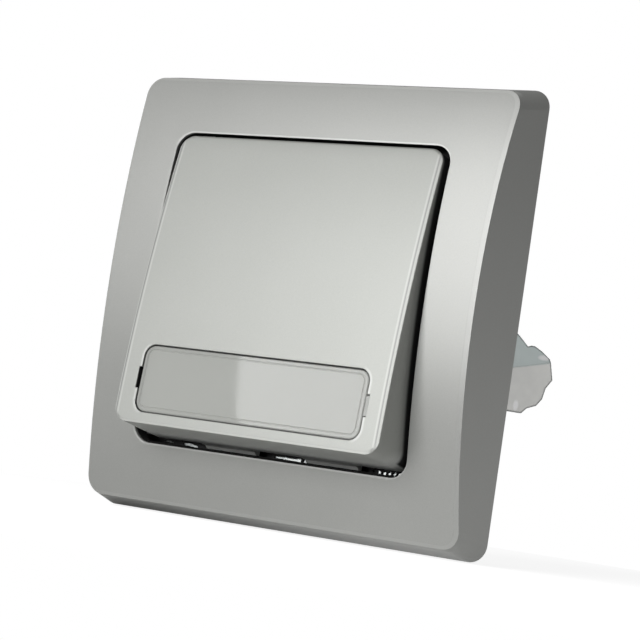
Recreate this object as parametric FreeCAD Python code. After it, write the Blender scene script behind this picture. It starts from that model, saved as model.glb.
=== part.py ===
"""Flush wall bell push: 80 mm cover frame, sprung push key with a name window, claw-fixed switch insert.

Millimetres. X is to the right, Z is up and the front faces -Y. The origin is the centre of the frame's back.
"""

import FreeCAD, Part
import math
import os

V = FreeCAD.Vector
X_AXIS = V(1, 0, 0)
Y_AXIS = V(0, 1, 0)
Z_AXIS = V(0, 0, 1)
ORIGIN = V(0, 0, 0)

# Fits and clearances
touch_gap = 0.05
bearing_clearance = 0.05
screw_clearance = 0.2
slide_clearance = 0.2

# How far a cutter runs past a face, and how far a fused feature runs into its neighbour
past = 1.0
bite = 0.5

# Cover frame
frame_size = 80.0
frame_depth_middle = 12.1
frame_depth_ends = 6.83
frame_draft = 0.23
frame_corner_r = 3.3
frame_wall = 2.0
frame_front_wall = 2.0
frame_edge = 0.5
opening_corner_r = 3.3
opening_edge = 0.25
rim_wall = 1.6
rim_clearance = 0.3
rib_thick = 1.2
rib_at = 14.0
ledge_height = 0.4
ledge_deep = 1.5

# Snap hooks between the frame and the ring
catch_inset = 3.5
catch_z = 21.0
catch_width = 6.0
catch_height = 5.0
catch_window_width = 3.4
catch_window_height = 1.4
catch_window_level = 3.6
hook_width = 2.6
hook_thick = 1.5
hook_barb = 0.8
hook_end_gap = 2.4
hook_clearance = 0.1

# Push key, in its own tilted frame: depth runs inwards from the face
key_width = 53.9
key_length = 53.07
key_side_gap = 1.15
key_top_gap = 0.62
key_bottom_gap = 3.13
key_proud = 1.97
key_tilt = 8.8
key_bow = 1.17
key_corner_r = 2.7
key_edge_r = 0.5
key_land = 1.1
key_side_draft = 0.053
key_wall = 1.4
key_face_wall = 2.0
key_skirt_deep = 18.0
key_rim_y_bottom = -6.2
key_rim_y_top = -3.5
key_rib_thick = 1.0
key_rib_x = 20.0
key_rib_deep = 5.0
finger_x = 5.2
finger_width = 10.6
finger_thick = 1.05
finger_root = 7.0
finger_gap = 0.2
foot_thick = 0.9
foot_slope = 0.7
foot_gap = 0.5

# Name window in the key
window_side = 3.95
window_height = 12.1
window_x = 0.15
window_below = 7.95
window_corner_r = 2.2
window_pad = 1.4
lens_gap = 0.25
lens_thick = 1.0
lens_sunk = 0.05
card_thick = 0.25
card_inset = 0.75
notch_height = 3.8
notch_width = 0.5
notch_deep = 3.2

# Support ring
ring_inset = 4.5
ring_thick = 1.0
ring_corner_r = 4.0
ring_hole_margin = 0.5
ring_hole_height = 35.0
ring_window_in = 1.6
ring_window_out = 2.2
ring_window_beyond = 2.4
ring_window_height = 6.0
fixing_spacing = 60.0
fixing_slot_width = 4.0
fixing_slot_length = 7.0

# Switch insert
base_half_width = 19.0
base_top = 20.0
base_bottom = 22.0
base_deep = 21.0
base_wall = 1.6
base_corner_r = 2.5
pillar_r = 2.1
pillar_inset = 2.6
pillar_deep = 9.0
rivet_r = 1.0
rivet_end_gap = 0.5
rivet_head_r = 1.8
rivet_head = 0.6
bearing_plate = 1.5
bearing_plate_margin = 1.0
bearing_window_margin = 0.5
pad_gap = 0.1
pad_fit = 0.2
tongue_inset = 1.5
tongue_reach = 0.6

# Toggle under the key
press_angle = 4.0
pivot_y = -3.0
trunnion_r = 1.5
cheek_thick = 3.0
cheek_r = 3.2
cheek_foot = 2.0
hub_r = 3.0
hub_half_width = 15.5
post_x = 11.0
post_s = 9.0
post_half = 1.6
post_end_gap = 1.0
socket_wall = 1.1
socket_deep = 6.0
yoke_depth_from_face = 8.3
yoke_thick = 1.8
yoke_half_length = 13.0
web_thick = 2.0
stop_z = 18.2
stop_half_width = 7.0
stop_thick = 1.6
stop_height = 2.0
stop_window_gap = 0.8

# Return spring
spring_z = -7.5
spring_front_y = 1.6
spring_post = 7.4
spring_mean_r = 2.5
spring_wire_r = 0.3
spring_wire_sides = 4
spring_turns = 4
spigot_r = 1.9
spigot_length = 1.5
seat_r = 3.1
seat_neck = 2.5

# Contacts
bridge_half_length = 7.6
bridge_height = 3.0
bridge_thick = 0.8
bridge_y = 4.0
bridge_above_bar = 0.8
tip_r = 1.2
tip_thick = 0.6
contact_x = 6.0
contact_edge = 0.6
carrier_x = 4.2
carrier_width = 1.8
carrier_front = 0.4
bar_thick = 1.0
bar_width = 5.0
bar_depth = 8.0
bar_end_gap = 1.4
contact_arm_height = 3.6

# Terminals
terminal_x = 10.0
clamp_back_gap = 1.9
clamp_width = 7.0
clamp_deep = 6.0
clamp_side_wall = 1.0
clamp_roof = 1.0
clamp_floor = 1.3
clamp_corner = 0.6
wire_space = 3.0
clamp_below_bar = 1.6
clamp_travel = 1.8
terminal_screw_r = 1.45
terminal_head_r = 2.6
terminal_head = 1.8
terminal_head_gap = 0.3
driver_slot_width = 0.8
driver_slot_deep = 0.8
wire_entry_r = 1.4

# Spreading claws, measured outwards from their pivot
claw_pivot_out = 3.3
claw_pivot_y = 3.2
claw_pin_r = 1.2
claw_steel = 1.2
claw_arm_thick = 1.0
claw_z = -6.55
claw_width = 13.9
claw_foot_y = 12.0
claw_knee_out = 7.7
claw_tip_out = 14.1
claw_tip_y = 22.0
claw_fold_z = -6.9
claw_fold_rise = 3.0
claw_fold_angle = 26.0
claw_slot = 4.4
claw_slot_out = 8.9
claw_slot_back_y = 15.0
claw_tooth = 1.0
claw_fold_reach = 1.03
claw_screw_out = 5.0
claw_screw_z = -7.0
claw_screw_r = 1.7
claw_screw_length = 15.5
claw_head_r = 3.0
claw_head = 2.0
claw_head_edge = 0.4
claw_hole_r = 1.9
ear_slack = 0.2


def arc_radius(chord, rise):
    """Radius of an arc from its chord and its rise."""
    return (chord * chord / 4 + rise * rise) / (2 * rise)


# Sizes that follow from the driving ones
far = 2 * frame_size
tilt = math.radians(key_tilt)
press = math.radians(press_angle)
key_height = key_length * math.cos(tilt)
opening_width = key_width + 2 * key_side_gap
opening_height = key_height + key_top_gap + key_bottom_gap
key_mid = V(0, -frame_depth_middle - key_proud, opening_height / 2 - key_top_gap - key_height / 2)
key_arc_r = arc_radius(key_length, key_bow)
frame_arc_r = arc_radius(frame_size, frame_depth_middle - frame_depth_ends)
frame_arc_y = frame_arc_r - frame_depth_middle
window_width = key_width - 2 * window_side
window_s = window_below - key_length / 2

ring_size = frame_size - 2 * ring_inset
ring_front = -ring_thick
catch_x = ring_size / 2 - catch_inset
rim_back_gap = ring_thick + catch_height + rim_clearance
plate_front = ring_front - bearing_plate
pad_front = ring_front + pad_gap

finger_s = -key_length / 2
foot_z = foot_gap - opening_height / 2
finger_end_y = pad_front - finger_gap + foot_z * math.sin(press)
foot_y = finger_end_y - foot_thick
ring_window_x = finger_x - ring_window_in
ring_window_width = finger_width + ring_window_in + ring_window_out
ring_window_far = ring_window_beyond - foot_z
ring_window_mid = ring_window_far - ring_window_height / 2

base_height = base_top + base_bottom
base_mid_z = (base_top - base_bottom) / 2
floor_y = base_deep - base_wall
cheek_in = hub_half_width + bearing_window_margin
hub_depth = (pivot_y - key_mid.y) / math.cos(tilt)
spring_back_y = floor_y - spring_post
bar_top_z = bar_depth - base_bottom
bar_low_z = bar_top_z - bar_thick
bar_back_y = floor_y - bar_end_gap
bridge_z = bar_top_z + bridge_above_bar
terminal_y = floor_y - clamp_back_gap - clamp_deep / 2
clamp_top_z = bar_top_z + wire_space
clamp_inner_low = bar_low_z - clamp_below_bar
clamp_low = clamp_inner_low - clamp_floor

claw_pivot_x = base_half_width + claw_pivot_out
claw_screw_x = claw_pivot_x + claw_screw_out
claw_knee_x = claw_pivot_x + claw_knee_out
claw_low = claw_z - claw_width / 2
claw_high = claw_z + claw_width / 2
ear_low = claw_screw_z - claw_slot / 2
ear_high = claw_screw_z + claw_slot / 2


def box(x0, x1, y0, y1, z0, z1):
    """Solid block between two corners."""
    return Part.makeBox(x1 - x0, y1 - y0, z1 - z0, V(x0, y0, z0))


def block_at(sx, x0, x1, y0, y1, z0, z1):
    """Solid block on one side, its X measured outwards from the middle."""
    near, far_x = sorted((sx * x0, sx * x1))
    return box(near, far_x, y0, y1, z0, z1)


def rod(r, length, start, direction):
    """Solid round bar from a start point."""
    return Part.makeCylinder(r, length, start, direction)


def hole_y(r, x, z, y0, y1):
    """Round cutter along Y that runs past both faces."""
    return rod(r, y1 - y0 + 2 * past, V(x, y0 - past, z), Y_AXIS)


def rounded_wire(width, height, r, y, cx=0.0, cz=0.0):
    """Closed rectangle with round corners, standing in the plane of one y."""
    hx = width / 2 - r
    hz = height / 2 - r
    edges = []
    for i in range(4):
        angles = [math.radians(90 * i + step) for step in (0, 45, 90)]
        sx = 1 if i in (0, 3) else -1
        sz = 1 if i in (0, 1) else -1
        mid = V(cx + sx * hx, y, cz + sz * hz)
        start, middle, end = (mid + V(r * math.cos(a), 0, r * math.sin(a)) for a in angles)
        if edges:
            edges.append(Part.makeLine(last, start))
        else:
            first = start
        edges.append(Part.Arc(start, middle, end).toShape())
        last = end
    edges.append(Part.makeLine(last, first))
    return Part.Wire(edges)


def rounded_block(width, height, r, y0, y1, cx=0.0, cz=0.0):
    """Block with four round corners, its flat faces at y0 and y1."""
    return Part.Face(rounded_wire(width, height, r, y0, cx, cz)).extrude(V(0, y1 - y0, 0))


def drafted_block(front, back, y0, y1):
    """Block whose flat sides run straight from one width and height at y0 to another at y1."""
    (w0, h0), (w1, h1) = front, back
    return Part.makeWedge(-w0 / 2, y0, -h0 / 2, -h1 / 2, -w1 / 2, w0 / 2, y1, h0 / 2, h1 / 2, w1 / 2)


def long_edges(shape, least):
    """Edges that run at least this far along Y."""
    return [e for e in shape.Edges if e.BoundBox.YLength > least]


def profile_x(points, x0, x1):
    """Prism along X from an outline of (y, z) points."""
    corners = [V(x0, y, z) for y, z in points]
    return Part.Face(Part.makePolygon(corners + corners[:1])).extrude(V(x1 - x0, 0, 0))


def profile_z(points, z0, z1):
    """Prism along Z from an outline of (x, y) points."""
    corners = [V(x, y, z0) for x, y in points]
    return Part.Face(Part.makePolygon(corners + corners[:1])).extrude(V(0, 0, z1 - z0))


def mirrored(shape, normal):
    """The shape's mirror image through the origin's plane with this normal."""
    return shape.mirror(ORIGIN, normal)


def in_corner(shape, sx, sz):
    """A shape of the upper right corner, carried to the corner with these signs."""
    if sx < 0:
        shape = mirrored(shape, X_AXIS)
    if sz < 0:
        shape = mirrored(shape, Z_AXIS)
    return shape


def half_turn(shape):
    """The shape turned half round the insert's own axis."""
    turned = shape.copy()
    turned.rotate(ORIGIN, Y_AXIS, 180)
    return turned


def fuse_all(shapes):
    """One solid from overlapping ones."""
    return shapes[0].multiFuse(shapes[1:]).removeSplitter()


def on_cylinder(edge, r, centre_y):
    """True when an edge lies on a cylinder along X whose axis has z = 0."""
    span = edge.LastParameter - edge.FirstParameter
    samples = [edge.valueAt(edge.FirstParameter + f * span) for f in (0, 0.5, 1)]
    return all(abs(math.hypot(p.y - centre_y, p.z) - r) < touch_gap / 5 for p in samples)


def frame_block(inset, front_inset, back_y):
    """The frame's drafted and bowed block, drawn in by a wall."""
    front_y = -frame_depth_middle - past
    base = frame_size - 2 * inset
    front = base + 2 * frame_draft * front_y
    back = base + 2 * frame_draft * back_y
    block = drafted_block((front, front), (back, back), front_y, back_y)
    if inset < frame_corner_r:
        block = block.makeFillet(frame_corner_r - inset, long_edges(block, frame_depth_middle))
    return block.common(rod(frame_arc_r - front_inset, far, V(-far / 2, frame_arc_y, 0), X_AXIS))


def hook():
    """Snap hook that hangs from the frame's front wall beside a catch on the ring."""
    inner = catch_x + ring_thick + hook_clearance
    z0 = catch_z - hook_width / 2
    z1 = catch_z + hook_width / 2
    leg = box(inner, inner + hook_thick, -frame_depth_middle, -hook_end_gap, z0, z1)
    level = ring_front - catch_window_level
    half = catch_window_height / 2 - hook_clearance
    tip = inner - hook_barb
    outline = [(inner, level - half), (tip, level - half), (tip, level), (inner, level + half)]
    barb = profile_z(outline, z0, z1)
    return leg.fuse(barb)


def in_opening(bounds):
    """True when a box lies within the frame's opening, seen from the front."""
    wide = max(bounds.XMax, -bounds.XMin) - touch_gap < opening_width / 2
    high = max(bounds.ZMax, -bounds.ZMin) - touch_gap < opening_height / 2
    return wide and high


def cover_frame():
    """Square frame with a bowed front, drafted sides, a rim with a lower ledge, ribs and snap hooks."""
    outer = frame_block(0, 0, 0)
    outline = [e for e in outer.Edges if on_cylinder(e, frame_arc_r, frame_arc_y)]
    outer = outer.makeChamfer(frame_edge, outline)
    shell = outer.cut(frame_block(frame_wall, frame_front_wall, past))
    rim_width = opening_width + 2 * rim_wall
    rim_height = opening_height + 2 * rim_wall
    front_y = -frame_depth_middle
    inside = [rounded_block(rim_width, rim_height, opening_corner_r + rim_wall, front_y, -rim_back_gap)]
    reach = (frame_size - frame_wall) / 2
    for sx in (-1, 1):
        for sz in (-1, 1):
            rib_z0, rib_z1 = sorted((sz * rib_at, sz * (rib_at + rib_thick)))
            rim_mid = (rim_width - rim_wall) / 2
            inside.append(block_at(sx, rim_mid, reach, front_y, -rim_back_gap, rib_z0, rib_z1))
            z0, z1 = sorted((sz * (rim_height - rim_wall) / 2, sz * reach))
            inside.append(block_at(sx, rib_at, rib_at + rib_thick, front_y, -rim_back_gap, z0, z1))
            inside.append(in_corner(hook(), sx, sz))
    core = frame_block(frame_wall / 2, frame_front_wall / 2, 0)
    shell = fuse_all([shell] + [piece.common(core) for piece in inside])
    shell = shell.cut(rounded_block(opening_width, opening_height, opening_corner_r, front_y - past, past))
    edge = -opening_height / 2
    half = opening_width / 2
    ledge = box(-half, half, -rim_back_gap - ledge_deep, -rim_back_gap, edge - bite, edge + ledge_height)
    lip = [e for e in shell.Edges if on_cylinder(e, frame_arc_r, frame_arc_y) and in_opening(e.BoundBox)]
    return shell.makeChamfer(opening_edge, lip).fuse(ledge).removeSplitter()


def place_on_key(shape):
    """Carry a shape from the key's upright frame to its tilted place."""
    placed = shape.copy()
    placed.rotate(ORIGIN, X_AXIS, -key_tilt)
    placed.translate(key_mid)
    return placed


def under_face(depth):
    """Everything that lies deeper than this below the key's bowed face, in the key's frame."""
    return rod(key_arc_r - depth, far, V(-far / 2, key_arc_r - key_bow, 0), X_AXIS)


def key_block(inset, depth):
    """The key's outer block, drawn in by a wall, in the key's frame."""
    width = key_width - 2 * inset
    height = key_length - 2 * inset
    back = width + 2 * key_side_draft * (key_skirt_deep - key_land)
    front_y = -key_bow - past
    land = box(-width / 2, width / 2, front_y, key_land, -height / 2, height / 2)
    skirt = drafted_block((width, height), (back, height), key_land, key_skirt_deep)
    block = land.fuse(skirt).removeSplitter()
    if inset < key_corner_r:
        block = block.makeFillet(key_corner_r - inset, long_edges(block, key_land))
    return block.common(under_face(depth))


def slab_between(block, depth0, depth1):
    """The slab of a block that lies between two depths below the key's face."""
    return block.common(under_face(depth0)).cut(under_face(depth1))


def window_block(inset, depth0, depth1):
    """A slab of the name window between two depths, in the key's frame."""
    r = window_corner_r - inset
    width = window_width - 2 * inset
    height = window_height - 2 * inset
    block = rounded_block(width, height, r, -key_bow - past, key_skirt_deep, window_x, window_s)
    return slab_between(block, depth0, depth1)


def square_bar(half, y0, y1, x, z):
    """Square bar along Y about one line."""
    return box(x - half, x + half, y0, y1, z - half, z + half)


def key_point(depth, s):
    """Y and Z of a point at some depth below the key's face and some way up from its middle."""
    y = key_mid.y + s * math.sin(tilt) + depth * math.cos(tilt)
    return y, key_mid.z + s * math.cos(tilt) - depth * math.sin(tilt)


def key_point_at(y, s):
    """Y and Z where the line that runs inwards at s reaches one y."""
    return key_point((y - key_mid.y - s * math.sin(tilt)) / math.cos(tilt), s)


def key_fingers():
    """Two fingers that run on from the key's bottom wall, each with a foot before the ring's windows."""
    top_s = finger_s + finger_thick
    outline = [
        key_point(finger_root, finger_s), key_point_at(foot_y - foot_slope, finger_s), (foot_y, foot_z),
        (finger_end_y, foot_z), key_point_at(finger_end_y, top_s), key_point(finger_root, top_s),
    ]
    return [profile_x(outline, x0, x0 + finger_width) for x0 in (finger_x, -finger_x - finger_width)]


def push_key():
    """Hollow rocker key with a bowed face, a sunk name window, post sockets, ribs and two lower fingers."""
    outer = key_block(0, 0)
    outline = [e for e in outer.Edges if on_cylinder(e, key_arc_r, key_arc_r - key_bow)]
    outer = outer.makeFillet(key_edge_r, outline)
    shell = outer.cut(key_block(key_wall, key_face_wall))
    floor = lens_sunk + lens_thick + card_thick + 2 * touch_gap
    inside = [window_block(-window_pad, key_face_wall / 2, floor + window_pad)]
    for sx in (-1, 1):
        for sz in (-1, 1):
            socket_end = key_face_wall + socket_deep
            inside.append(square_bar(post_half + socket_wall, 0, socket_end, sx * post_x, sz * post_s))
        half = (key_length - key_wall) / 2
        inside.append(block_at(sx, key_rib_x, key_rib_x + key_rib_thick, 0, key_rib_deep, -half, half))
    core = key_block(key_wall / 2, key_face_wall / 2)
    shell = fuse_all([shell] + [piece.common(core) for piece in inside])
    cuts = [window_block(0, -past, floor)]
    for sx in (-1, 1):
        for sz in (-1, 1):
            half = post_half + bearing_clearance
            cuts.append(square_bar(half, key_face_wall, key_skirt_deep, sx * post_x, sz * post_s))
    notch_half = window_width / 2 + notch_width
    notch = box(
        window_x - notch_half, window_x + notch_half, -key_bow - past, key_skirt_deep,
        window_s - notch_height / 2, window_s + notch_height / 2,
    )
    cuts.append(notch.cut(under_face(notch_deep)))
    shell = place_on_key(shell.cut(Part.makeCompound(cuts)))
    rim_slope = (key_rim_y_top - key_rim_y_bottom) / key_length
    rim_mid = (key_rim_y_top + key_rim_y_bottom) / 2
    behind = [(rim_mid + rim_slope * z, z) for z in (-far, far)] + [(far, far), (far, -far)]
    shell = shell.cut(profile_x(behind, -far, far))
    return fuse_all([shell] + key_fingers())


def name_lens():
    """Clear name-plate cover, flush with the key's face."""
    return place_on_key(window_block(lens_gap, lens_sunk, lens_sunk + lens_thick))


def name_card():
    """Blank name card behind the clear cover, its corners cut square."""
    top = lens_sunk + lens_thick + touch_gap
    half_x = window_width / 2 - card_inset
    half_z = window_height / 2 - card_inset
    card = box(
        window_x - half_x, window_x + half_x, -key_bow - past, key_skirt_deep,
        window_s - half_z, window_s + half_z,
    )
    return place_on_key(slab_between(card, top, top + card_thick))


def ring_catch():
    """Upright steel catch with a window, bent up from the ring."""
    z0 = catch_z - catch_width / 2
    leaf = box(catch_x, catch_x + ring_thick, ring_front - catch_height, 0, z0, z0 + catch_width)
    level = ring_front - catch_window_level
    half = catch_window_height / 2
    side = catch_z - catch_window_width / 2
    through = (catch_x - past, catch_x + ring_thick + past)
    return leaf.cut(box(*through, level - half, level + half, side, side + catch_window_width))


def finger_window(grow, y0, y1):
    """Block in the ring's upper right finger window, larger than the window all round by grow."""
    x0 = ring_window_x - grow
    x1 = ring_window_x + ring_window_width + grow
    half = ring_window_height / 2 + grow
    return box(x0, x1, y0, y1, ring_window_mid - half, ring_window_mid + half)


def support_ring():
    """Galvanised plate with the insert's hole, finger windows, fixing slots, claw screw holes and catches."""
    plate = rounded_block(ring_size, ring_size, ring_corner_r, ring_front, 0)
    half_x = hub_half_width + ring_hole_margin
    half_z = ring_hole_height / 2
    cuts = [box(-half_x, half_x, ring_front - past, past, -half_z, half_z)]
    lance_low = catch_z - catch_width / 2
    lance = box(catch_x - catch_height, catch_x, ring_front - past, past, lance_low, lance_low + catch_width)
    slot_x = fixing_spacing / 2
    for sx in (-1, 1):
        for sz in (-1, 1):
            cuts.append(in_corner(finger_window(0, ring_front - past, past), sx, sz))
            cuts.append(in_corner(lance, sx, sz))
        ends = (fixing_slot_length - fixing_slot_width) / 2
        slot_r = fixing_slot_width / 2
        cuts.append(block_at(sx, slot_x - ends, slot_x + ends, ring_front - past, past, -slot_r, slot_r))
        for end in (-ends, ends):
            cuts.append(hole_y(slot_r, sx * slot_x + end, 0, ring_front, 0))
        hole = hole_y(claw_hole_r, claw_screw_x, claw_screw_z, ring_front, 0)
        cuts.append(hole if sx > 0 else half_turn(hole))
    for x, z in rivet_places():
        cuts.append(hole_y(rivet_r, x, z, ring_front, 0))
    plate = plate.cut(Part.makeCompound(cuts))
    return fuse_all([plate] + [in_corner(ring_catch(), sx, sz) for sx in (-1, 1) for sz in (-1, 1)])


def rivet_places():
    """Centres of the two rivets in X and Z, in opposite corners."""
    x = base_half_width - pillar_inset
    return [(x, base_top - pillar_inset), (-x, pillar_inset - base_bottom)]


def claw_ear():
    """Lug on the base's side that holds a claw's pin."""
    r = claw_pin_r + claw_steel
    low = ear_low + ear_slack
    high = ear_high - ear_slack
    barrel = rod(r, high - low, V(claw_pivot_x, claw_pivot_y, low), Z_AXIS)
    web = box(base_half_width - bite, claw_pivot_x, claw_pivot_y - r, claw_pivot_y + r, low, high)
    return barrel.fuse(web)


def corner_pillar(x, z):
    """Square pillar that fills the base's corner round one rivet."""
    near_x, far_x = sorted((x - math.copysign(pillar_r, x), math.copysign(base_half_width, x)))
    edge_z = base_top if z > 0 else -base_bottom
    near_z, far_z = sorted((z - math.copysign(pillar_r, z), edge_z))
    return box(near_x, far_x, 0, pillar_deep, near_z, far_z)


def switch_base():
    """Deep moulded cup with rivet pillars, a spring spigot, bar shelves, wire entries and claw ears."""
    width = 2 * base_half_width
    outer = rounded_block(width, base_height, base_corner_r, 0, base_deep, 0, base_mid_z)
    inner_x = base_half_width - base_wall
    shell = outer.cut(box(-inner_x, inner_x, -past, floor_y, base_wall - base_bottom, base_top - base_wall))
    inside = [corner_pillar(x, z) for x, z in rivet_places()]
    inside.append(rod(seat_r, spring_post + bite, V(0, spring_back_y, spring_z), Y_AXIS))
    inside.append(rod(spigot_r, spigot_length + bite, V(0, spring_back_y - spigot_length, spring_z), Y_AXIS))
    shelf_front = contact_arm_y + 2 * bar_thick
    clamp_front = terminal_y - clamp_deep / 2
    clamp_back = terminal_y + clamp_deep / 2
    rail_end = floor_y + bite
    low = -base_bottom + bite
    bar_in = terminal_x - bar_width / 2
    bar_out = terminal_x + bar_width / 2
    fence = terminal_x - clamp_width / 2 - slide_clearance
    fence_top = clamp_top_z + clamp_roof + base_wall
    for sx in (-1, 1):
        inside.append(block_at(sx, bar_in, bar_out, shelf_front, clamp_front - slide_clearance, low, bar_low_z))
        inside.append(block_at(sx, bar_in, bar_out, clamp_back + slide_clearance, rail_end, low, bar_low_z))
        inside.append(block_at(sx, fence - base_wall, fence, clamp_front, rail_end, low, fence_top))
    ear = claw_ear()
    shell = fuse_all([shell, ear, half_turn(ear)] + [piece.common(outer) for piece in inside])
    cuts = [hole_y(rivet_r, x, z, 0, pillar_deep - past) for x, z in rivet_places()]
    pin = rod(claw_pin_r, claw_width, V(claw_pivot_x, claw_pivot_y, claw_low), Z_AXIS)
    cuts += [pin, half_turn(pin)]
    head_hole = terminal_head_r + screw_clearance
    for sx in (-1, 1):
        start = V(sx * terminal_x, terminal_y, -base_bottom - past)
        cuts.append(rod(head_hole, base_wall + 2 * past, start, Z_AXIS))
        cuts.append(hole_y(wire_entry_r, sx * terminal_x, bar_top_z + wire_space / 2, floor_y, base_deep))
    return shell.cut(Part.makeCompound(cuts))


def ring_pad():
    """Tongue of the front plate that drops into the ring's upper right finger window and fills it."""
    x0 = ring_window_x + tongue_inset
    x1 = ring_window_x + ring_window_width - tongue_inset
    near = ring_window_mid - ring_window_height / 2 + pad_fit
    front = ring_front - bearing_plate / 2
    middle = ring_front + ring_thick / 2
    tongue = box(x0, x1, front, ring_front, base_top + bite, near + tongue_reach)
    root = box(x0, x1, front, middle, near, near + tongue_reach)
    return tongue.multiFuse([root, finger_window(-pad_fit, pad_front, -pad_gap)])


def bearing_cover():
    """Front plate of the insert, with two cheeks for the toggle and four pads in the ring's finger windows."""
    width = 2 * (base_half_width + bearing_plate_margin)
    height = base_height + 2 * bearing_plate_margin
    plate = rounded_block(width, height, base_corner_r, plate_front, ring_front, 0, base_mid_z)
    body = [plate]
    foot = cheek_r + cheek_foot
    for sx in (-1, 1):
        start = V(min(sx * cheek_in, sx * (cheek_in + cheek_thick)), pivot_y, 0)
        body.append(rod(cheek_r, cheek_thick, start, X_AXIS))
        body.append(block_at(sx, cheek_in, cheek_in + cheek_thick, pivot_y, ring_front, -foot, foot))
    body = fuse_all(body).common(box(-far, far, -far, ring_front, -far, far))
    opening_half = stop_z - stop_height / 2 - stop_window_gap
    cuts = [box(-cheek_in, cheek_in, -far, past, -opening_half, opening_half)]
    cuts.append(rod(trunnion_r + bearing_clearance, far, V(-far / 2, pivot_y, 0), X_AXIS))
    for x, z in rivet_places():
        cuts.append(hole_y(rivet_r, x, z, plate_front, ring_front))
    body = body.cut(Part.makeCompound(cuts))
    pads = [in_corner(ring_pad(), sx, sz) for sx in (-1, 1) for sz in (-1, 1)]
    return fuse_all([body] + pads)


def cover_rivets():
    """Two rivets through the front plate and the ring into the base's pillars."""
    rivets = []
    for x, z in rivet_places():
        shank = rod(rivet_r, pillar_deep - plate_front - rivet_end_gap, V(x, plate_front, z), Y_AXIS)
        tip = V(x, plate_front - rivet_head, z)
        head = Part.makeCone(rivet_head_r - rivet_head, rivet_head_r, rivet_head, tip, Y_AXIS)
        rivets.append(shank.fuse(head).removeSplitter())
    return Part.makeCompound(rivets)


def toggle():
    """Rocking carrier: hub, trunnions, yoke with four posts, end stops, spring seat and contact carriers."""
    hub = rod(hub_r, 2 * hub_half_width, V(-hub_half_width, pivot_y, 0), X_AXIS)
    reach = cheek_in + cheek_thick
    pins = rod(trunnion_r, 2 * reach, V(-reach, pivot_y, 0), X_AXIS)
    yoke_x = post_x + post_half
    yoke_back = yoke_depth_from_face + yoke_thick
    yoke = box(-yoke_x, yoke_x, yoke_depth_from_face, yoke_back, -yoke_half_length, yoke_half_length)
    parts = [hub, pins, place_on_key(yoke)]
    post_front = key_face_wall + post_end_gap
    for sx in (-1, 1):
        for sz in (-1, 1):
            parts.append(place_on_key(square_bar(post_half, post_front, yoke_back, sx * post_x, sz * post_s)))
        web_outline = [
            (yoke_depth_from_face, -post_s), (yoke_depth_from_face, post_s),
            (hub_depth, hub_r), (hub_depth, -hub_r),
        ]
        web_x0 = sx * post_x - web_thick / 2
        parts.append(place_on_key(profile_x(web_outline, web_x0, web_x0 + web_thick)))
    stop_far = stop_z + stop_height / 2
    drop = math.sin(press) * stop_far + touch_gap
    arm_front = plate_front - drop - stop_thick - past
    for sign, gap in ((-1, drop), (1, touch_gap)):
        z0, z1 = sorted((sign * (stop_z - stop_height / 2), sign * stop_far))
        parts.append(box(-stop_half_width, stop_half_width, arm_front, plate_front - gap, z0, z1))
        z0, z1 = sorted((0, sign * stop_far))
        parts.append(box(-stop_half_width, stop_half_width, arm_front, arm_front + stop_thick, z0, z1))
    parts.append(rod(seat_r, spring_front_y - pivot_y, V(0, pivot_y, spring_z), Y_AXIS))
    parts.append(rod(spigot_r, spigot_length, V(0, spring_front_y, spring_z), Y_AXIS))
    parts.append(box(-seat_r, seat_r, pivot_y - seat_neck, pivot_y + seat_neck, spring_z, 0))
    low = bridge_z - bridge_height / 2
    front = arm_front + carrier_front
    for sx in (-1, 1):
        x0, x1 = sorted((sx * carrier_x, sx * (carrier_x + carrier_width)))
        outline = [
            (front, low + bite), (bridge_y, low), (bridge_y, low + bridge_height),
            (pivot_y + hub_r - bite, -hub_r + bite), (front, -hub_r + bite),
        ]
        parts.append(profile_x(outline, x0, x1))
    return fuse_all(parts)


def tangent_arc(start, corner, end):
    """Arc that leaves start towards a corner and reaches end, both as far from the corner."""
    to_start = start - corner
    to_end = end - corner
    half = to_start.getAngle(to_end) / 2
    middle = (start + end) / 2 - corner
    side = to_start.Length
    rise = side / math.cos(half) - side * math.tan(half)
    return Part.Arc(start, corner + middle.normalize() * rise, end).toShape()


def biarc(p0, t0, p1, t1):
    """Two arcs from p0 to p1 that keep the directions t0 and t1 there."""
    span = p1 - p0
    both = t0 + t1
    a = both.dot(both) - 4
    b = -2 * span.dot(both)
    c = span.dot(span)
    reach = (-b - math.sqrt(b * b - 4 * a * c)) / (2 * a)
    near = p0 + t0 * reach
    beyond = p1 - t1 * reach
    join = (near + beyond) / 2
    return [tangent_arc(p0, near, join), tangent_arc(join, beyond, p1)]


def return_spring():
    """Compression spring between the toggle's seat and the base's spigot, its wire drawn with flat sides."""
    length = spring_back_y - spring_front_y - 2 * spring_wire_r
    steps = 2 * spring_turns
    gap = length / spring_turns - 2 * spring_wire_r
    print("least gap between the spring's turns", round(gap, 2))

    def place(i):
        """Point of the wire's line after some half turns, with its direction."""
        a = math.pi * i
        y = spring_front_y + spring_wire_r + length * i / steps
        point = V(spring_mean_r * math.cos(a), y, spring_z + spring_mean_r * math.sin(a))
        speed = math.pi * spring_mean_r
        run = V(-math.sin(a) * speed, length / steps, math.cos(a) * speed)
        return point, run.normalize()

    edges = []
    for i in range(steps):
        edges += biarc(*place(i), *place(i + 1))
    start, run = place(0)
    across = run.cross(X_AXIS)
    corners = []
    for i in range(spring_wire_sides + 1):
        a = 2 * math.pi * i / spring_wire_sides
        corners.append(start + X_AXIS * spring_wire_r * math.cos(a) + across * spring_wire_r * math.sin(a))
    return Part.Wire(edges).makePipeShell([Part.makePolygon(corners)], True, False)


def contact_bridge():
    """Moving contact bar on the toggle's carriers."""
    half = bridge_height / 2
    back = bridge_y + bridge_thick
    return box(-bridge_half_length, bridge_half_length, bridge_y, back, bridge_z - half, bridge_z + half)


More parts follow.
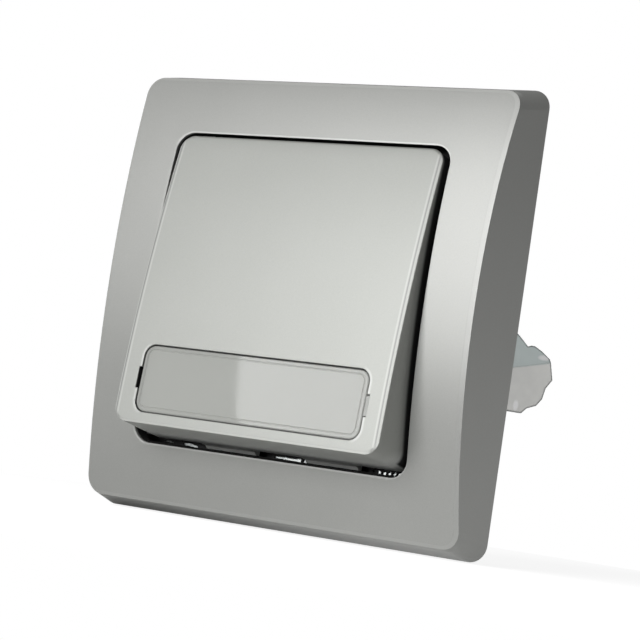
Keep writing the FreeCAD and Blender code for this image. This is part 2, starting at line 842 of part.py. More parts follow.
def bridge_contact_tips():
    """Two contact rivets on the moving bar."""
    return Part.makeCompound([
        rod(tip_r, tip_thick, V(sx * contact_x, bridge_y + bridge_thick, bridge_z), Y_AXIS) for sx in (-1, 1)
    ])


# Where the moving tips' middle stands, in Y and Z, with the key pressed home
tip_arm = bridge_y + bridge_thick + tip_thick - pivot_y
closed_tip_y = pivot_y + tip_arm * math.cos(press) - bridge_z * math.sin(press)
closed_tip_z = tip_arm * math.sin(press) + bridge_z * math.cos(press)
tip_face_y = closed_tip_y + tip_r * math.sin(press) + touch_gap
contact_arm_y = tip_face_y + tip_thick


def fixed_contact():
    """Right-hand contact strip: an upright arm behind its tip and a bar that runs back into the clamp."""
    arm_back = contact_arm_y + bar_thick
    arm_top = bar_top_z + contact_arm_height
    bar_out = terminal_x + bar_width / 2
    arm = box(contact_x - tip_r - contact_edge, bar_out, contact_arm_y, arm_back, bar_low_z, arm_top)
    bar = box(bar_out - bar_width, bar_out, contact_arm_y, bar_back_y, bar_low_z, bar_top_z)
    return arm.fuse(bar).removeSplitter()


def fixed_contact_tips():
    """Contact rivets on the two fixed strips."""
    return Part.makeCompound([
        rod(tip_r, tip_thick, V(sx * contact_x, tip_face_y, closed_tip_z), Y_AXIS) for sx in (-1, 1)
    ])


def terminal_clamp():
    """Right-hand lift clamp: a square loop round the bar, with a threaded floor."""
    x0 = terminal_x - clamp_width / 2
    x1 = terminal_x + clamp_width / 2
    y0 = terminal_y - clamp_deep / 2
    y1 = terminal_y + clamp_deep / 2
    block = box(x0, x1, y0, y1, clamp_low, clamp_top_z + clamp_roof)
    block = block.makeChamfer(clamp_corner, long_edges(block, clamp_deep / 2))
    hole = box(x0 + clamp_side_wall, x1 - clamp_side_wall, y0 - past, y1 + past, clamp_inner_low, clamp_top_z)
    start = V(terminal_x, terminal_y, clamp_low - past)
    thread = rod(terminal_screw_r + bearing_clearance, clamp_floor + 2 * past, start, Z_AXIS)
    return block.cut(hole).cut(thread)


def terminal_screw():
    """Right-hand slotted terminal screw, its tip under the bar."""
    low = clamp_low - clamp_travel - terminal_head_gap - terminal_head
    start = V(terminal_x, terminal_y, low)
    head = rod(terminal_head_r, terminal_head, start, Z_AXIS)
    shank = rod(terminal_screw_r, bar_low_z - touch_gap - low, start, Z_AXIS)
    reach = terminal_head_r + past
    half = driver_slot_width / 2
    slot = box(
        terminal_x - reach, terminal_x + reach, terminal_y - half, terminal_y + half,
        low - past, low + driver_slot_deep,
    )
    return head.fuse(shank).removeSplitter().cut(slot)


claw_foot_back = claw_foot_y + claw_steel
claw_root = V(claw_knee_x - claw_steel, claw_foot_back, 0)
claw_rise = V(claw_tip_out - claw_knee_out, claw_tip_y - claw_foot_back, 0)
claw_reach = claw_rise.Length
claw_along = V(claw_rise).normalize()
claw_normal = V(claw_along.y, -claw_along.x, 0)
claw_fold_tip_z = claw_fold_z + claw_fold_rise


def claw_plate():
    """The claw's spread tip plate, its edge ground to teeth, below a fold line that climbs to the tip."""

    def at(u, z):
        """Point on the plate's back face, u along the plate from the knee."""
        return claw_root + claw_along * u + V(0, 0, z)

    edge = [
        (0, claw_low), (0.62, claw_low), (0.71, claw_low + claw_tooth), (0.87, claw_low + 1.7 * claw_tooth),
        (0.96, claw_low + 3 * claw_tooth), (1.0, claw_low + 5 * claw_tooth), (1.1, claw_low + 6.6 * claw_tooth),
        (claw_fold_reach, claw_fold_tip_z), (0, claw_fold_z),
    ]
    outline = [at(u * claw_reach, z) for u, z in edge]
    return Part.Face(Part.makePolygon(outline + outline[:1])).extrude(claw_normal * claw_steel)


def claw_wing():
    """The claw's upper wing, bent back about the fold line, with a pointed shoulder."""
    fold_start = claw_root + V(0, 0, claw_fold_z)
    fold_end = claw_root + claw_along * (claw_fold_reach * claw_reach) + V(0, 0, claw_fold_tip_z)
    fold = fold_end - fold_start
    fold_length = fold.Length
    fold.normalize()
    upright = claw_normal.cross(fold)

    def at(u, v):
        """Point on the wing's back face before the bend, v up from the fold line."""
        return fold_start + fold * (u * fold_length) + upright * v

    edge = [
        (0, 0), (1.0, 0), (1.0, 0.7), (0.91, 2.4), (0.825, 3.5), (0.767, 3.7), (0.708, 3.6),
        (0.66, 5.0), (0.593, 6.7), (0.5, 7.5), (0, 7.5),
    ]
    outline = [at(u, v) for u, v in edge]
    wing = Part.Face(Part.makePolygon(outline + outline[:1])).extrude(claw_normal * claw_steel)
    wing.rotate(fold_start + claw_normal * claw_steel, fold, -claw_fold_angle)
    return wing


def claw():
    """Right-hand stamped claw: rolled eye, a foot with the screw's slot, a toothed tip and a bent wing."""
    eye = rod(claw_pin_r + claw_steel, claw_width, V(claw_pivot_x, claw_pivot_y, claw_low), Z_AXIS)
    bore = rod(claw_pin_r + bearing_clearance, claw_width, V(claw_pivot_x, claw_pivot_y, claw_low), Z_AXIS)
    arm_out = claw_pivot_x + claw_pin_r + claw_steel
    arm_in = arm_out - claw_arm_thick
    arm = box(arm_in, arm_out, claw_pivot_y, claw_foot_back, claw_low, claw_high)
    foot = box(arm_in, claw_knee_x, claw_foot_y, claw_foot_back, claw_low, claw_high)
    body = eye.cut(bore).multiFuse([arm, foot, claw_plate(), claw_wing()])
    eye_in = claw_pivot_x - claw_pin_r - claw_steel - past
    slot_out = claw_pivot_x + claw_slot_out
    return body.cut(box(eye_in, slot_out, 0, claw_slot_back_y, ear_low, ear_high))


def claw_pins():
    """Steel pins in the base's ears, one for each claw."""
    pin = rod(claw_pin_r, claw_width, V(claw_pivot_x, claw_pivot_y, claw_low), Z_AXIS)
    return Part.makeCompound([pin, half_turn(pin)])


def claw_screw():
    """Right-hand slotted screw that draws the claw outwards."""
    front = ring_front - claw_head
    start = V(claw_screw_x, front, claw_screw_z)
    head = rod(claw_head_r, claw_head, start, Y_AXIS)
    rim = [e for e in head.Edges if e.BoundBox.YMax < ring_front - claw_head / 2]
    head = head.makeChamfer(claw_head_edge, rim)
    shank = rod(claw_screw_r, claw_screw_length + claw_head, start, Y_AXIS)
    reach = claw_head_r + past
    half = driver_slot_width / 2
    slot = box(
        claw_screw_x - reach, claw_screw_x + reach, front - past, front + driver_slot_deep,
        claw_screw_z - half, claw_screw_z + half,
    )
    return head.fuse(shank).removeSplitter().cut(slot)


def all_nodes():
    """Every sub-part by its name."""
    strip = fixed_contact()
    clamp = terminal_clamp()
    screw = terminal_screw()
    claw_right = claw()
    long_screw = claw_screw()
    return {
        "cover_frame": cover_frame(),
        "push_key": push_key(),
        "name_lens": name_lens(),
        "name_card": name_card(),
        "support_ring": support_ring(),
        "switch_base": switch_base(),
        "bearing_cover": bearing_cover(),
        "cover_rivets": cover_rivets(),
        "toggle": toggle(),
        "return_spring": return_spring(),
        "contact_bridge": contact_bridge(),
        "bridge_contact_tips": bridge_contact_tips(),
        "fixed_contact_left": mirrored(strip, X_AXIS),
        "fixed_contact_right": strip,
        "fixed_contact_tips": fixed_contact_tips(),
        "terminal_clamp_left": mirrored(clamp, X_AXIS),
        "terminal_clamp_right": clamp,
        "terminal_screw_left": mirrored(screw, X_AXIS),
        "terminal_screw_right": screw,
        "claw_left": half_turn(claw_right),
        "claw_right": claw_right,
        "claw_pins": claw_pins(),
        "claw_screw_left": half_turn(long_screw),
        "claw_screw_right": long_screw,
    }


def main():
    """Build and save every sub-part."""
    os.makedirs("parts", exist_ok=True)
    for name, shape in all_nodes().items():
        shape.exportStep(f"parts/{name}.step")
        print(name, "valid", shape.isValid(), "solids", len(shape.Solids), "volume", round(shape.Volume, 2))


main()
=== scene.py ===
"""Dresses the flush wall bell push: silver frame and key, clear name window, plated steel and moulded insert.

Metres, in the model's own frame: X to the right, Z up, the front faces -Y, and the wall is the plane Y = 0.
"""

import logging
import math
from abc import ABC, abstractmethod
from dataclasses import dataclass, field, replace
from enum import Enum
from functools import lru_cache
from typing import Iterable, List, Optional, Tuple, Union

import bmesh
import bpy
from bpy.types import ID, Material, NodeSocket, Object, World
from mathutils import Matrix, Vector


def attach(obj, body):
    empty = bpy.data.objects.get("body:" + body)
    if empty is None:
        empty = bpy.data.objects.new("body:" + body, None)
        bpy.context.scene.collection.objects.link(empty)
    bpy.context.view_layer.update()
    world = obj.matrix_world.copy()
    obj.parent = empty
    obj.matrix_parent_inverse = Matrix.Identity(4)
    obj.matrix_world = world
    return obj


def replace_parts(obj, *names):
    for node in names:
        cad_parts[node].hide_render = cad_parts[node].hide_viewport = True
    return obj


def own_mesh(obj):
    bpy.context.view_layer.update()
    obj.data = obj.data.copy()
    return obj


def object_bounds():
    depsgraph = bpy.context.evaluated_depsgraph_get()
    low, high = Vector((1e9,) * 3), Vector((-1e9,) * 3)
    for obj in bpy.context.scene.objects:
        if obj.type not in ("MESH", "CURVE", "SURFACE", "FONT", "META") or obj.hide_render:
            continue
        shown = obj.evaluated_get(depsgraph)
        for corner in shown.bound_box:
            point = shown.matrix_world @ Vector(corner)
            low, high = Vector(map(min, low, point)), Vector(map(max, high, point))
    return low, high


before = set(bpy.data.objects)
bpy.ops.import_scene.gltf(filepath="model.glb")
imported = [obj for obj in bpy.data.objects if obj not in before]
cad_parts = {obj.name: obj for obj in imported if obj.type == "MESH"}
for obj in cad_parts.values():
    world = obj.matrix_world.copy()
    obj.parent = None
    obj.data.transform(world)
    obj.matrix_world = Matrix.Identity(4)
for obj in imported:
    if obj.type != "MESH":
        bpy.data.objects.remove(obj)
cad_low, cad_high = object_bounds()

log = logging.getLogger("bell_push")

MM = 0.001
BEVEL_SAMPLES = 6
EDGE_GAIN = 8.0
MIX_SOCKETS = {"RGBA": (6, 7, 2), "VECTOR": (4, 5, 1)}

Colour = Tuple[float, float, float]
Point = Tuple[float, float, float]
Span = Tuple[float, float]
Operand = Union["Value", float]


def grey(level: float) -> Colour:
    """A neutral colour of one brightness."""
    return level, level, level


class Side(Enum):
    """The two sides of the insert."""

    LEFT = "left"
    RIGHT = "right"


@dataclass(frozen=True, eq=False)
class Value:
    """A number that varies over a surface, as a tree's output socket with arithmetic."""

    graph: "Graph"
    socket: NodeSocket

    def _maths(self, operation: str, *values: Operand) -> "Value":
        """Add one Math node with these inputs and give its result."""
        made = self.graph.node("ShaderNodeMath", {"operation": operation}, dict(enumerate(values)))
        return Value(self.graph, made[0])

    def __add__(self, other: Operand) -> "Value":
        """Sum."""
        return self._maths("ADD", self, other)

    def __radd__(self, other: float) -> "Value":
        """Sum with a number in front."""
        return self._maths("ADD", other, self)

    def __sub__(self, other: Operand) -> "Value":
        """Difference."""
        return self._maths("SUBTRACT", self, other)

    def __rsub__(self, other: float) -> "Value":
        """Difference from a number."""
        return self._maths("SUBTRACT", other, self)

    def __mul__(self, other: Operand) -> "Value":
        """Product."""
        return self._maths("MULTIPLY", self, other)

    def __rmul__(self, other: float) -> "Value":
        """Product with a number in front."""
        return self._maths("MULTIPLY", other, self)

    def __pow__(self, other: float) -> "Value":
        """Power."""
        return self._maths("POWER", self, other)

    def __abs__(self) -> "Value":
        """Size without its sign."""
        return self._maths("ABSOLUTE", self)

    def most(self, other: Operand) -> "Value":
        """The larger of two values."""
        return self._maths("MAXIMUM", self, other)

    def least(self, other: Operand) -> "Value":
        """The smaller of two values."""
        return self._maths("MINIMUM", self, other)

    def clamp(self) -> "Value":
        """The value held between 0 and 1."""
        return self.most(0.0).least(1.0)

    def spread(self, contrast: float) -> "Value":
        """The value with more contrast about one half, held between 0 and 1."""
        return (self * contrast - (contrast - 1.0) / 2).clamp()


class Graph:
    """Builds the node tree of one material or of the world.

    MIX_SOCKETS holds the Mix node's two inputs and its output by number, for each kind of value.
    """

    def __init__(self, owner: Union[Material, World], output: str) -> None:
        """Start an empty tree.

        Args:
            owner: The material or the world.
            output: The type of its output node.
        """
        self.owner = owner
        owner.use_nodes = True
        self.tree = owner.node_tree
        self.tree.nodes.clear()
        self.output = self.tree.nodes.new(output)

    @classmethod
    def material(cls, name: str) -> "Graph":
        """Start an empty material of this name and give its tree."""
        return cls(bpy.data.materials.new(name), "ShaderNodeOutputMaterial")

    def show(self, shader: NodeSocket) -> None:
        """Link a shader's socket to the output."""
        self.tree.links.new(shader, self.output.inputs["Surface"])

    def show_mixed(self, amount: Value, first: NodeSocket, second: NodeSocket) -> None:
        """Link a blend of two shaders to the output, from the first at 0 to the second at 1."""
        self.show(self.node("ShaderNodeMixShader", {}, {"Fac": amount, 1: first, 2: second})["Shader"])

    def seen(self, gloss_share: Value) -> Value:
        """1 for what the camera sees and a share of it for what reflections and refractions see.

        Args:
            gloss_share: The share.

        Returns:
            The amount.
        """
        ray = self.node("ShaderNodeLightPath")
        gloss = (Value(self, ray["Is Glossy Ray"]) + Value(self, ray["Is Transmission Ray"])).clamp()
        return (Value(self, ray["Is Camera Ray"]) + gloss * gloss_share).clamp()

    def node(
        self, kind: str, settings: Optional[dict] = None, inputs: Optional[dict] = None
    ) -> bpy.types.bpy_prop_collection:
        """Add one node.

        Args:
            kind: The node's type.
            settings: Attributes to set first.
            inputs: Values or links by socket name or number.

        Returns:
            The node's outputs.
        """
        made = self.tree.nodes.new(kind)
        for key, value in (settings or {}).items():
            setattr(made, key, value)
        for key, value in (inputs or {}).items():
            self._feed(made.inputs[key], value)
        return made.outputs

    def _feed(self, socket: NodeSocket, value: object) -> None:
        """Link a value or set a constant on one socket.

        Args:
            socket: The input socket.
            value: A Value, an output socket, a number or a tuple.
        """
        if isinstance(value, Value):
            self.tree.links.new(value.socket, socket)
        elif isinstance(value, NodeSocket):
            self.tree.links.new(value, socket)
        elif isinstance(value, tuple) and socket.type == "RGBA" and len(value) == 3:
            socket.default_value = (*value, 1.0)
        else:
            socket.default_value = value

    def place(self) -> NodeSocket:
        """The surface point in the object's own metres."""
        return self.node("ShaderNodeTexCoord")["Object"]

    def axes(self, point: Optional[NodeSocket] = None) -> Tuple[Value, Value, Value]:
        """The three parts of a point.

        Args:
            point: The point, or the surface point.

        Returns:
            Its X, Y and Z.
        """
        source = point if point is not None else self.place()
        split = self.node("ShaderNodeSeparateXYZ", {}, {"Vector": source})
        return Value(self, split["X"]), Value(self, split["Y"]), Value(self, split["Z"])

    def fade(self, along: Value, start: float, end: float) -> Value:
        """A smooth step.

        Args:
            along: The value that runs along the step.
            start: Where the step begins.
            end: Where it ends.

        Returns:
            0 before the start and 1 past the end.
        """
        settings = {"interpolation_type": "SMOOTHSTEP"}
        inputs = {"Value": along, "From Min": start, "From Max": end}
        return Value(self, self.node("ShaderNodeMapRange", settings, inputs)["Result"])

    def drop(self, along: Value, start: float, end: float) -> Value:
        """The reverse of a fade: 1 before the start and 0 past the end."""
        return 1.0 - self.fade(along, start, end)

    def stretched(self, scale: Point) -> NodeSocket:
        """The surface point, scaled along each axis by its own factor."""
        inputs = {0: self.place(), 1: scale}
        return self.node("ShaderNodeVectorMath", {"operation": "MULTIPLY"}, inputs)["Vector"]

    def noise(self, scale: float, detail: float = 2.0, at: Optional[NodeSocket] = None) -> Value:
        """Smooth noise from 0 to 1.

        Args:
            scale: Features per metre.
            detail: Octaves.
            at: The point to read, or the surface point.

        Returns:
            The noise.
        """
        point = at if at is not None else self.place()
        out = self.node("ShaderNodeTexNoise", {}, {"Vector": point, "Scale": scale, "Detail": detail})
        return Value(self, out["Fac"])

    def _blend(self, kind: str, amount: Value, low: object, high: object) -> NodeSocket:
        """Add one Mix node.

        Args:
            kind: What it blends, as a key of MIX_SOCKETS.
            amount: 0 for the first, 1 for the second.
            low: The first.
            high: The second.

        Returns:
            The blend.
        """
        first, second, result = MIX_SOCKETS[kind]
        inputs = {"Factor": amount, first: low, second: high}
        return self.node("ShaderNodeMix", {"data_type": kind}, inputs)[result]

    def mix(self, amount: Value, low: object, high: object) -> NodeSocket:
        """Blend two colours, from the first at 0 to the second at 1."""
        return self._blend("RGBA", amount, low, high)

    def mix_vector(self, amount: Value, low: NodeSocket, high: NodeSocket) -> NodeSocket:
        """Blend two vectors, from the first at 0 to the second at 1."""
        return self._blend("VECTOR", amount, low, high)

    def vector(self, x: Operand, y: Operand, z: Operand) -> NodeSocket:
        """Three values as one vector."""
        return self.node("ShaderNodeCombineXYZ", {}, {"X": x, "Y": y, "Z": z})["Vector"]

    def _dot(self, first: NodeSocket, second: NodeSocket) -> Value:
        """The cosine between two directions."""
        settings = {"operation": "DOT_PRODUCT"}
        return Value(self, self.node("ShaderNodeVectorMath", settings, {0: first, 1: second})["Value"])

    def facing(self, front: NodeSocket) -> Value:
        """How far the flat surface faces one way, as the cosine between the two."""
        return self._dot(self.node("ShaderNodeNewGeometry")["True Normal"], front)

    def rounded(self, radius: float) -> NodeSocket:
        """The surface normal, with every sharp edge softened to a radius in metres."""
        return self.node("ShaderNodeBevel", {"samples": BEVEL_SAMPLES}, {"Radius": radius})["Normal"]

    def edges(self, radius: float) -> Value:
        """1 on sharp edges, as far as the radius reaches in metres, and 0 on flat faces."""
        flat = self.node("ShaderNodeNewGeometry")["Normal"]
        return ((1.0 - self._dot(self.rounded(radius), flat)) * EDGE_GAIN).clamp()

    def bump(
        self, height: Value, strength: float, distance: float, over: Optional[NodeSocket] = None
    ) -> NodeSocket:
        """Surface relief.

        Args:
            height: The relief.
            strength: How much of it shows.
            distance: Its height in metres.
            over: The normal that it bends, or the surface's own.

        Returns:
            The bent normal.
        """
        inputs = {"Strength": strength, "Distance": distance, "Height": height}
        if over is not None:
            inputs["Normal"] = over
        return self.node("ShaderNodeBump", {}, inputs)["Normal"]

    def surface(self, **sockets: object) -> Material:
        """Finish with one Principled shader.

        Args:
            sockets: Its inputs, with underscores for spaces.

        Returns:
            The finished material.
        """
        inputs = {name.replace("_", " "): value for name, value in sockets.items()}
        shader = self.node("ShaderNodeBsdfPrincipled", {}, inputs)
        self.show(shader["BSDF"])
        return self.owner


def rounded_distance(wide: Value, high: Value, corner: float) -> Value:
    """How far a point lies outside a rectangle with rounded corners.

    Args:
        wide: How far across it lies past the middle of the nearest corner's arc.
        high: How far up or down it lies past that middle.
        corner: The arc's radius.

    Returns:
        The distance, less than 0 inside.
    """
    past = (wide.most(0.0) ** 2 + high.most(0.0) ** 2) ** 0.5
    return past + wide.most(high).least(0.0) - corner


@dataclass(frozen=True)
class KeyFace:
    """The key's bowed and tilted front, as the frame of reference of what sits in it, in metres."""

    middle: Tuple[float, float] = (-0.01407, 0.001255)
    tilt: float = math.radians(8.8)
    length: float = 0.05307
    bow: float = 0.00117

    @property
    def fall(self) -> float:
        """How fast the bow falls off with the square of the distance from the middle."""
        return self.bow / (self.length / 2) ** 2

    def point(self, x: float, up: float, depth: float) -> Point:
        """A point below the face.

        Args:
            x: Its place across.
            up: How far up the key it lies from the middle.
            depth: How far below the face.

        Returns:
            The point in the model's frame.
        """
        inwards = depth - self.bow + self.fall * up * up
        y = self.middle[0] + up * math.sin(self.tilt) + inwards * math.cos(self.tilt)
        return x, y, self.middle[1] + up * math.cos(self.tilt) - inwards * math.sin(self.tilt)

    def place(self, g: Graph) -> Tuple[Value, Value, Value]:
        """The surface point in the key's own measures.

        Args:
            g: The tree.

        Returns:
            Its place across, up the key and below the face.
        """
        x, y, z = g.axes()
        y = y - self.middle[0]
        z = z - self.middle[1]
        up = y * math.sin(self.tilt) + z * math.cos(self.tilt)
        depth = y * math.cos(self.tilt) - z * math.sin(self.tilt) + self.bow - up * up * self.fall
        return x, up, depth

    def front(self, g: Graph, up: Value) -> NodeSocket:
        """The direction that the face looks in.

        Args:
            g: The tree.
            up: The point's place up the key.

        Returns:
            The direction.
        """
        slope = up * (2 * self.fall)
        y = slope * math.sin(self.tilt) - math.cos(self.tilt)
        return g.vector(0.0, y, slope * math.cos(self.tilt) + math.sin(self.tilt))


@dataclass(frozen=True)
class Window:
    """The name window's outline on the key, in metres."""

    face: KeyFace = KeyFace()
    across: float = 0.00015
    up: float = -0.018585
    half_width: float = 0.0230
    half_height: float = 0.00605
    corner: float = 0.0022
    corner_steps: int = 6
    side_steps: int = 4

    def outside(self, x: Value, up: Value) -> Value:
        """How far a point lies outside the outline.

        Args:
            x: Its place across.
            up: Its place up the key.

        Returns:
            The distance, less than 0 inside.
        """
        wide = abs(x - self.across) - (self.half_width - self.corner)
        high = abs(up - self.up) - (self.half_height - self.corner)
        return rounded_distance(wide, high, self.corner)

    def outline(self, inset: float, depth: float) -> List[Point]:
        """The outline, moved inwards and below the face.

        Args:
            inset: How far inwards.
            depth: How far below the face.

        Returns:
            The right half from its foot up, and then the left half from its top down.
        """
        radius = self.corner - inset
        mid_x = self.half_width - self.corner
        mid_up = self.half_height - self.corner
        turns = [math.pi / 2 * i / self.corner_steps for i in range(self.corner_steps + 1)]
        right = [(mid_x + radius * math.sin(turn), -mid_up - radius * math.cos(turn)) for turn in turns]
        for i in range(1, self.side_steps):
            right.append((mid_x + radius, mid_up * (2 * i / self.side_steps - 1)))
        right += [(mid_x + radius * math.cos(turn), mid_up + radius * math.sin(turn)) for turn in turns]
        left = [(-x, up) for x, up in reversed(right)]
        return [self.face.point(self.across + x, self.up + up, depth) for x, up in right + left]


@dataclass(frozen=True)
class Opening:
    """Where the frame's opening lies, for the painted highlight on its lip and the walls inside it, bare
    black moulding painted near-black as shade, in metres.
    """

    half_width: float = 0.0281
    half_height: float = 0.0281
    front_radius: float = 0.1544
    front_y: float = -0.0121
    corner: float = 0.0033
    lip: Span = (0.0006, 0.0014)
    # The next three numbers place the painted highlight along the upper and lower lip.
    band_start: Span = (-0.00005, 0.00005)
    band_end: Span = (0.00014, 0.00036)
    band_corner_share: float = 0.7
    wall: Span = (0.0001, 0.0003)
    wall_depth: Span = (0.0004, 0.0012)

    def _outside(self, x: Value, z: Value) -> Value:
        """How far a point lies outside the opening, with its corners taken as sharp."""
        return (abs(x) - self.half_width).most(abs(z) - self.half_height)

    def near_lip(self, g: Graph) -> Value:
        """1 in the opening and on its lip, 0 on the rest of the frame."""
        x, _, z = g.axes()
        return g.drop(self._outside(x, z), *self.lip)

    def edge_band(self, g: Graph) -> Value:
        """1 along the upper and lower lip, where a painted highlight lightens the paint.

        Args:
            g: The paint's tree.

        Returns:
            The mask.
        """
        x, _, z = g.axes()
        wide = abs(x) - (self.half_width - self.corner)
        high = abs(z) - (self.half_height - self.corner)
        outside = rounded_distance(wide, high, self.corner)
        level = g.fade(high, 0.0, self.corner * self.band_corner_share)
        return level * g.fade(outside, *self.band_start) * g.drop(outside, *self.band_end)

    def front(self, g: Graph) -> NodeSocket:
        """The direction that the frame's bowed front looks in.

        Args:
            g: The paint's tree.

        Returns:
            The direction.
        """
        _, y, z = g.axes()
        bend = 1 / self.front_radius
        return g.vector(0.0, (y - self.front_y) * bend - 1.0, z * bend)

    def behind_front(self, y: Value, z: Value) -> Value:
        """How far a point lies behind the frame's front."""
        return y - self.front_y - self.front_radius + (self.front_radius ** 2 - z * z) ** 0.5

    def inner_wall_shade(self, g: Graph) -> Value:
        """1 on the opening's walls below the lip, left bare and painted near-black as shade."""
        x, y, z = g.axes()
        return g.drop(self._outside(x, z), *self.wall) * g.fade(self.behind_front(y, z), *self.wall_depth)


@dataclass(frozen=True)
class Recipe(ABC):
    """One finish, made as a material when the first piece needs it."""

    name: str
    colour: Colour

    @abstractmethod
    def make(self) -> Material:
        """Make the material."""


@dataclass(frozen=True)
class SatinPaint(Recipe):
    """Fine metallic silver paint on a moulding."""

    dark: Colour
    metallic: float
    roughness: float
    edge: float = 0.00015
    opening: Opening = Opening()
    flake_scale: float = 5200.0
    flake_detail: float = 1.0
    flake_share: float = 0.9
    flake_roughness: float = 0.10
    cloud_scale: float = 55.0
    cloud_share: float = 0.5
    pebble_scale: float = 2600.0
    pebble_strength: float = 0.10
    pebble_height: float = 0.00004
    # Near-black and matte: the bare black moulding's own colour, darkened as painted shade in the gaps.
    bare_and_shade: Colour = (0.004, 0.004, 0.004)
    bare_roughness: float = 0.95
    # Colour of every painted highlight: on the front's edges, the frame's lip, the key's arrises and the
    # window's rim.
    painted_highlight: Colour = (0.80, 0.81, 0.79)
    arris_highlight_share: float = 0.12
    arris_from: Span = (0.42, 0.60)
    arris_to: Span = (0.990, 0.997)

    def make(self) -> Material:
        """Flaked silver with a faint cloudiness, a fine pebble and softened edges, with painted highlights
        and painted shade.

        Returns:
            The material.
        """
        g = Graph.material(self.name)
        flake = g.noise(self.flake_scale, self.flake_detail)
        cloud = g.noise(self.cloud_scale)
        tone = (0.5 + (flake - 0.5) * self.flake_share + (cloud - 0.5) * self.cloud_share).clamp()
        colour, bare_and_shade_mask = self._light_and_shade(g, g.mix(tone, self.dark, self.colour))
        front, near = self._face(g)
        facing = g.facing(front)
        arris = near * g.fade(facing, *self.arris_from) * g.drop(facing, *self.arris_to)
        # Painted highlight: the front's edges lightened where they would catch the lamp.
        colour = g.mix(arris * self.arris_highlight_share, colour, self.painted_highlight)
        normal = g.mix_vector(arris, self._softened(g), front)
        pebble = g.noise(self.pebble_scale)
        # Where the mask is 1, painted shade: near-black and matte.
        painted = 1.0 - bare_and_shade_mask
        roughness = self.roughness + (flake - 0.5) * self.flake_roughness
        return g.surface(
            Base_Color=g.mix(bare_and_shade_mask, colour, self.bare_and_shade),
            Metallic=painted * self.metallic,
            Roughness=painted * roughness + bare_and_shade_mask * self.bare_roughness,
            Normal=g.bump(pebble, self.pebble_strength, self.pebble_height, normal),
        )

    def _softened(self, g: Graph) -> NodeSocket:
        """The normal with the paint's rounded edges."""
        return g.rounded(self.edge)

    @abstractmethod
    def _face(self, g: Graph) -> Tuple[NodeSocket, Value]:
        """The direction that the front looks in, and 1 where its edge may catch the light."""

    @abstractmethod
    def _light_and_shade(self, g: Graph, colour: NodeSocket) -> Tuple[NodeSocket, Value]:
        """The colour with its painted highlights and shade, and 1 where bare black moulding is painted
        near-black as shade.
        """


@dataclass(frozen=True)
class FramePaint(SatinPaint):
    """The frame's paint: a painted highlight on the opening's lip, and the bare black moulding inside it
    painted near-black as shade.
    """

    lip_edge: float = 0.00012
    lip_highlight_share: float = 0.5
    face_depth: Span = (0.0014, 0.0018)

    def _softened(self, g: Graph) -> NodeSocket:
        """The normal with the paint's rounded edges, tighter at the lip."""
        return g.mix_vector(self.opening.near_lip(g), super()._softened(g), g.rounded(self.lip_edge))

    def _face(self, g: Graph) -> Tuple[NodeSocket, Value]:
        """The direction that the bowed front looks in, and 1 close to it."""
        _, y, z = g.axes()
        return self.opening.front(g), g.drop(self.opening.behind_front(y, z), *self.face_depth)

    def _light_and_shade(self, g: Graph, colour: NodeSocket) -> Tuple[NodeSocket, Value]:
        """The paint with its painted highlight on the lip, and 1 on the opening's bare walls, painted
        near-black as shade.
        """
        # Painted highlight along the lip.
        painted_highlight = g.mix(self.opening.edge_band(g) * self.lip_highlight_share, colour, self.painted_highlight)
        return painted_highlight, self.opening.inner_wall_shade(g)


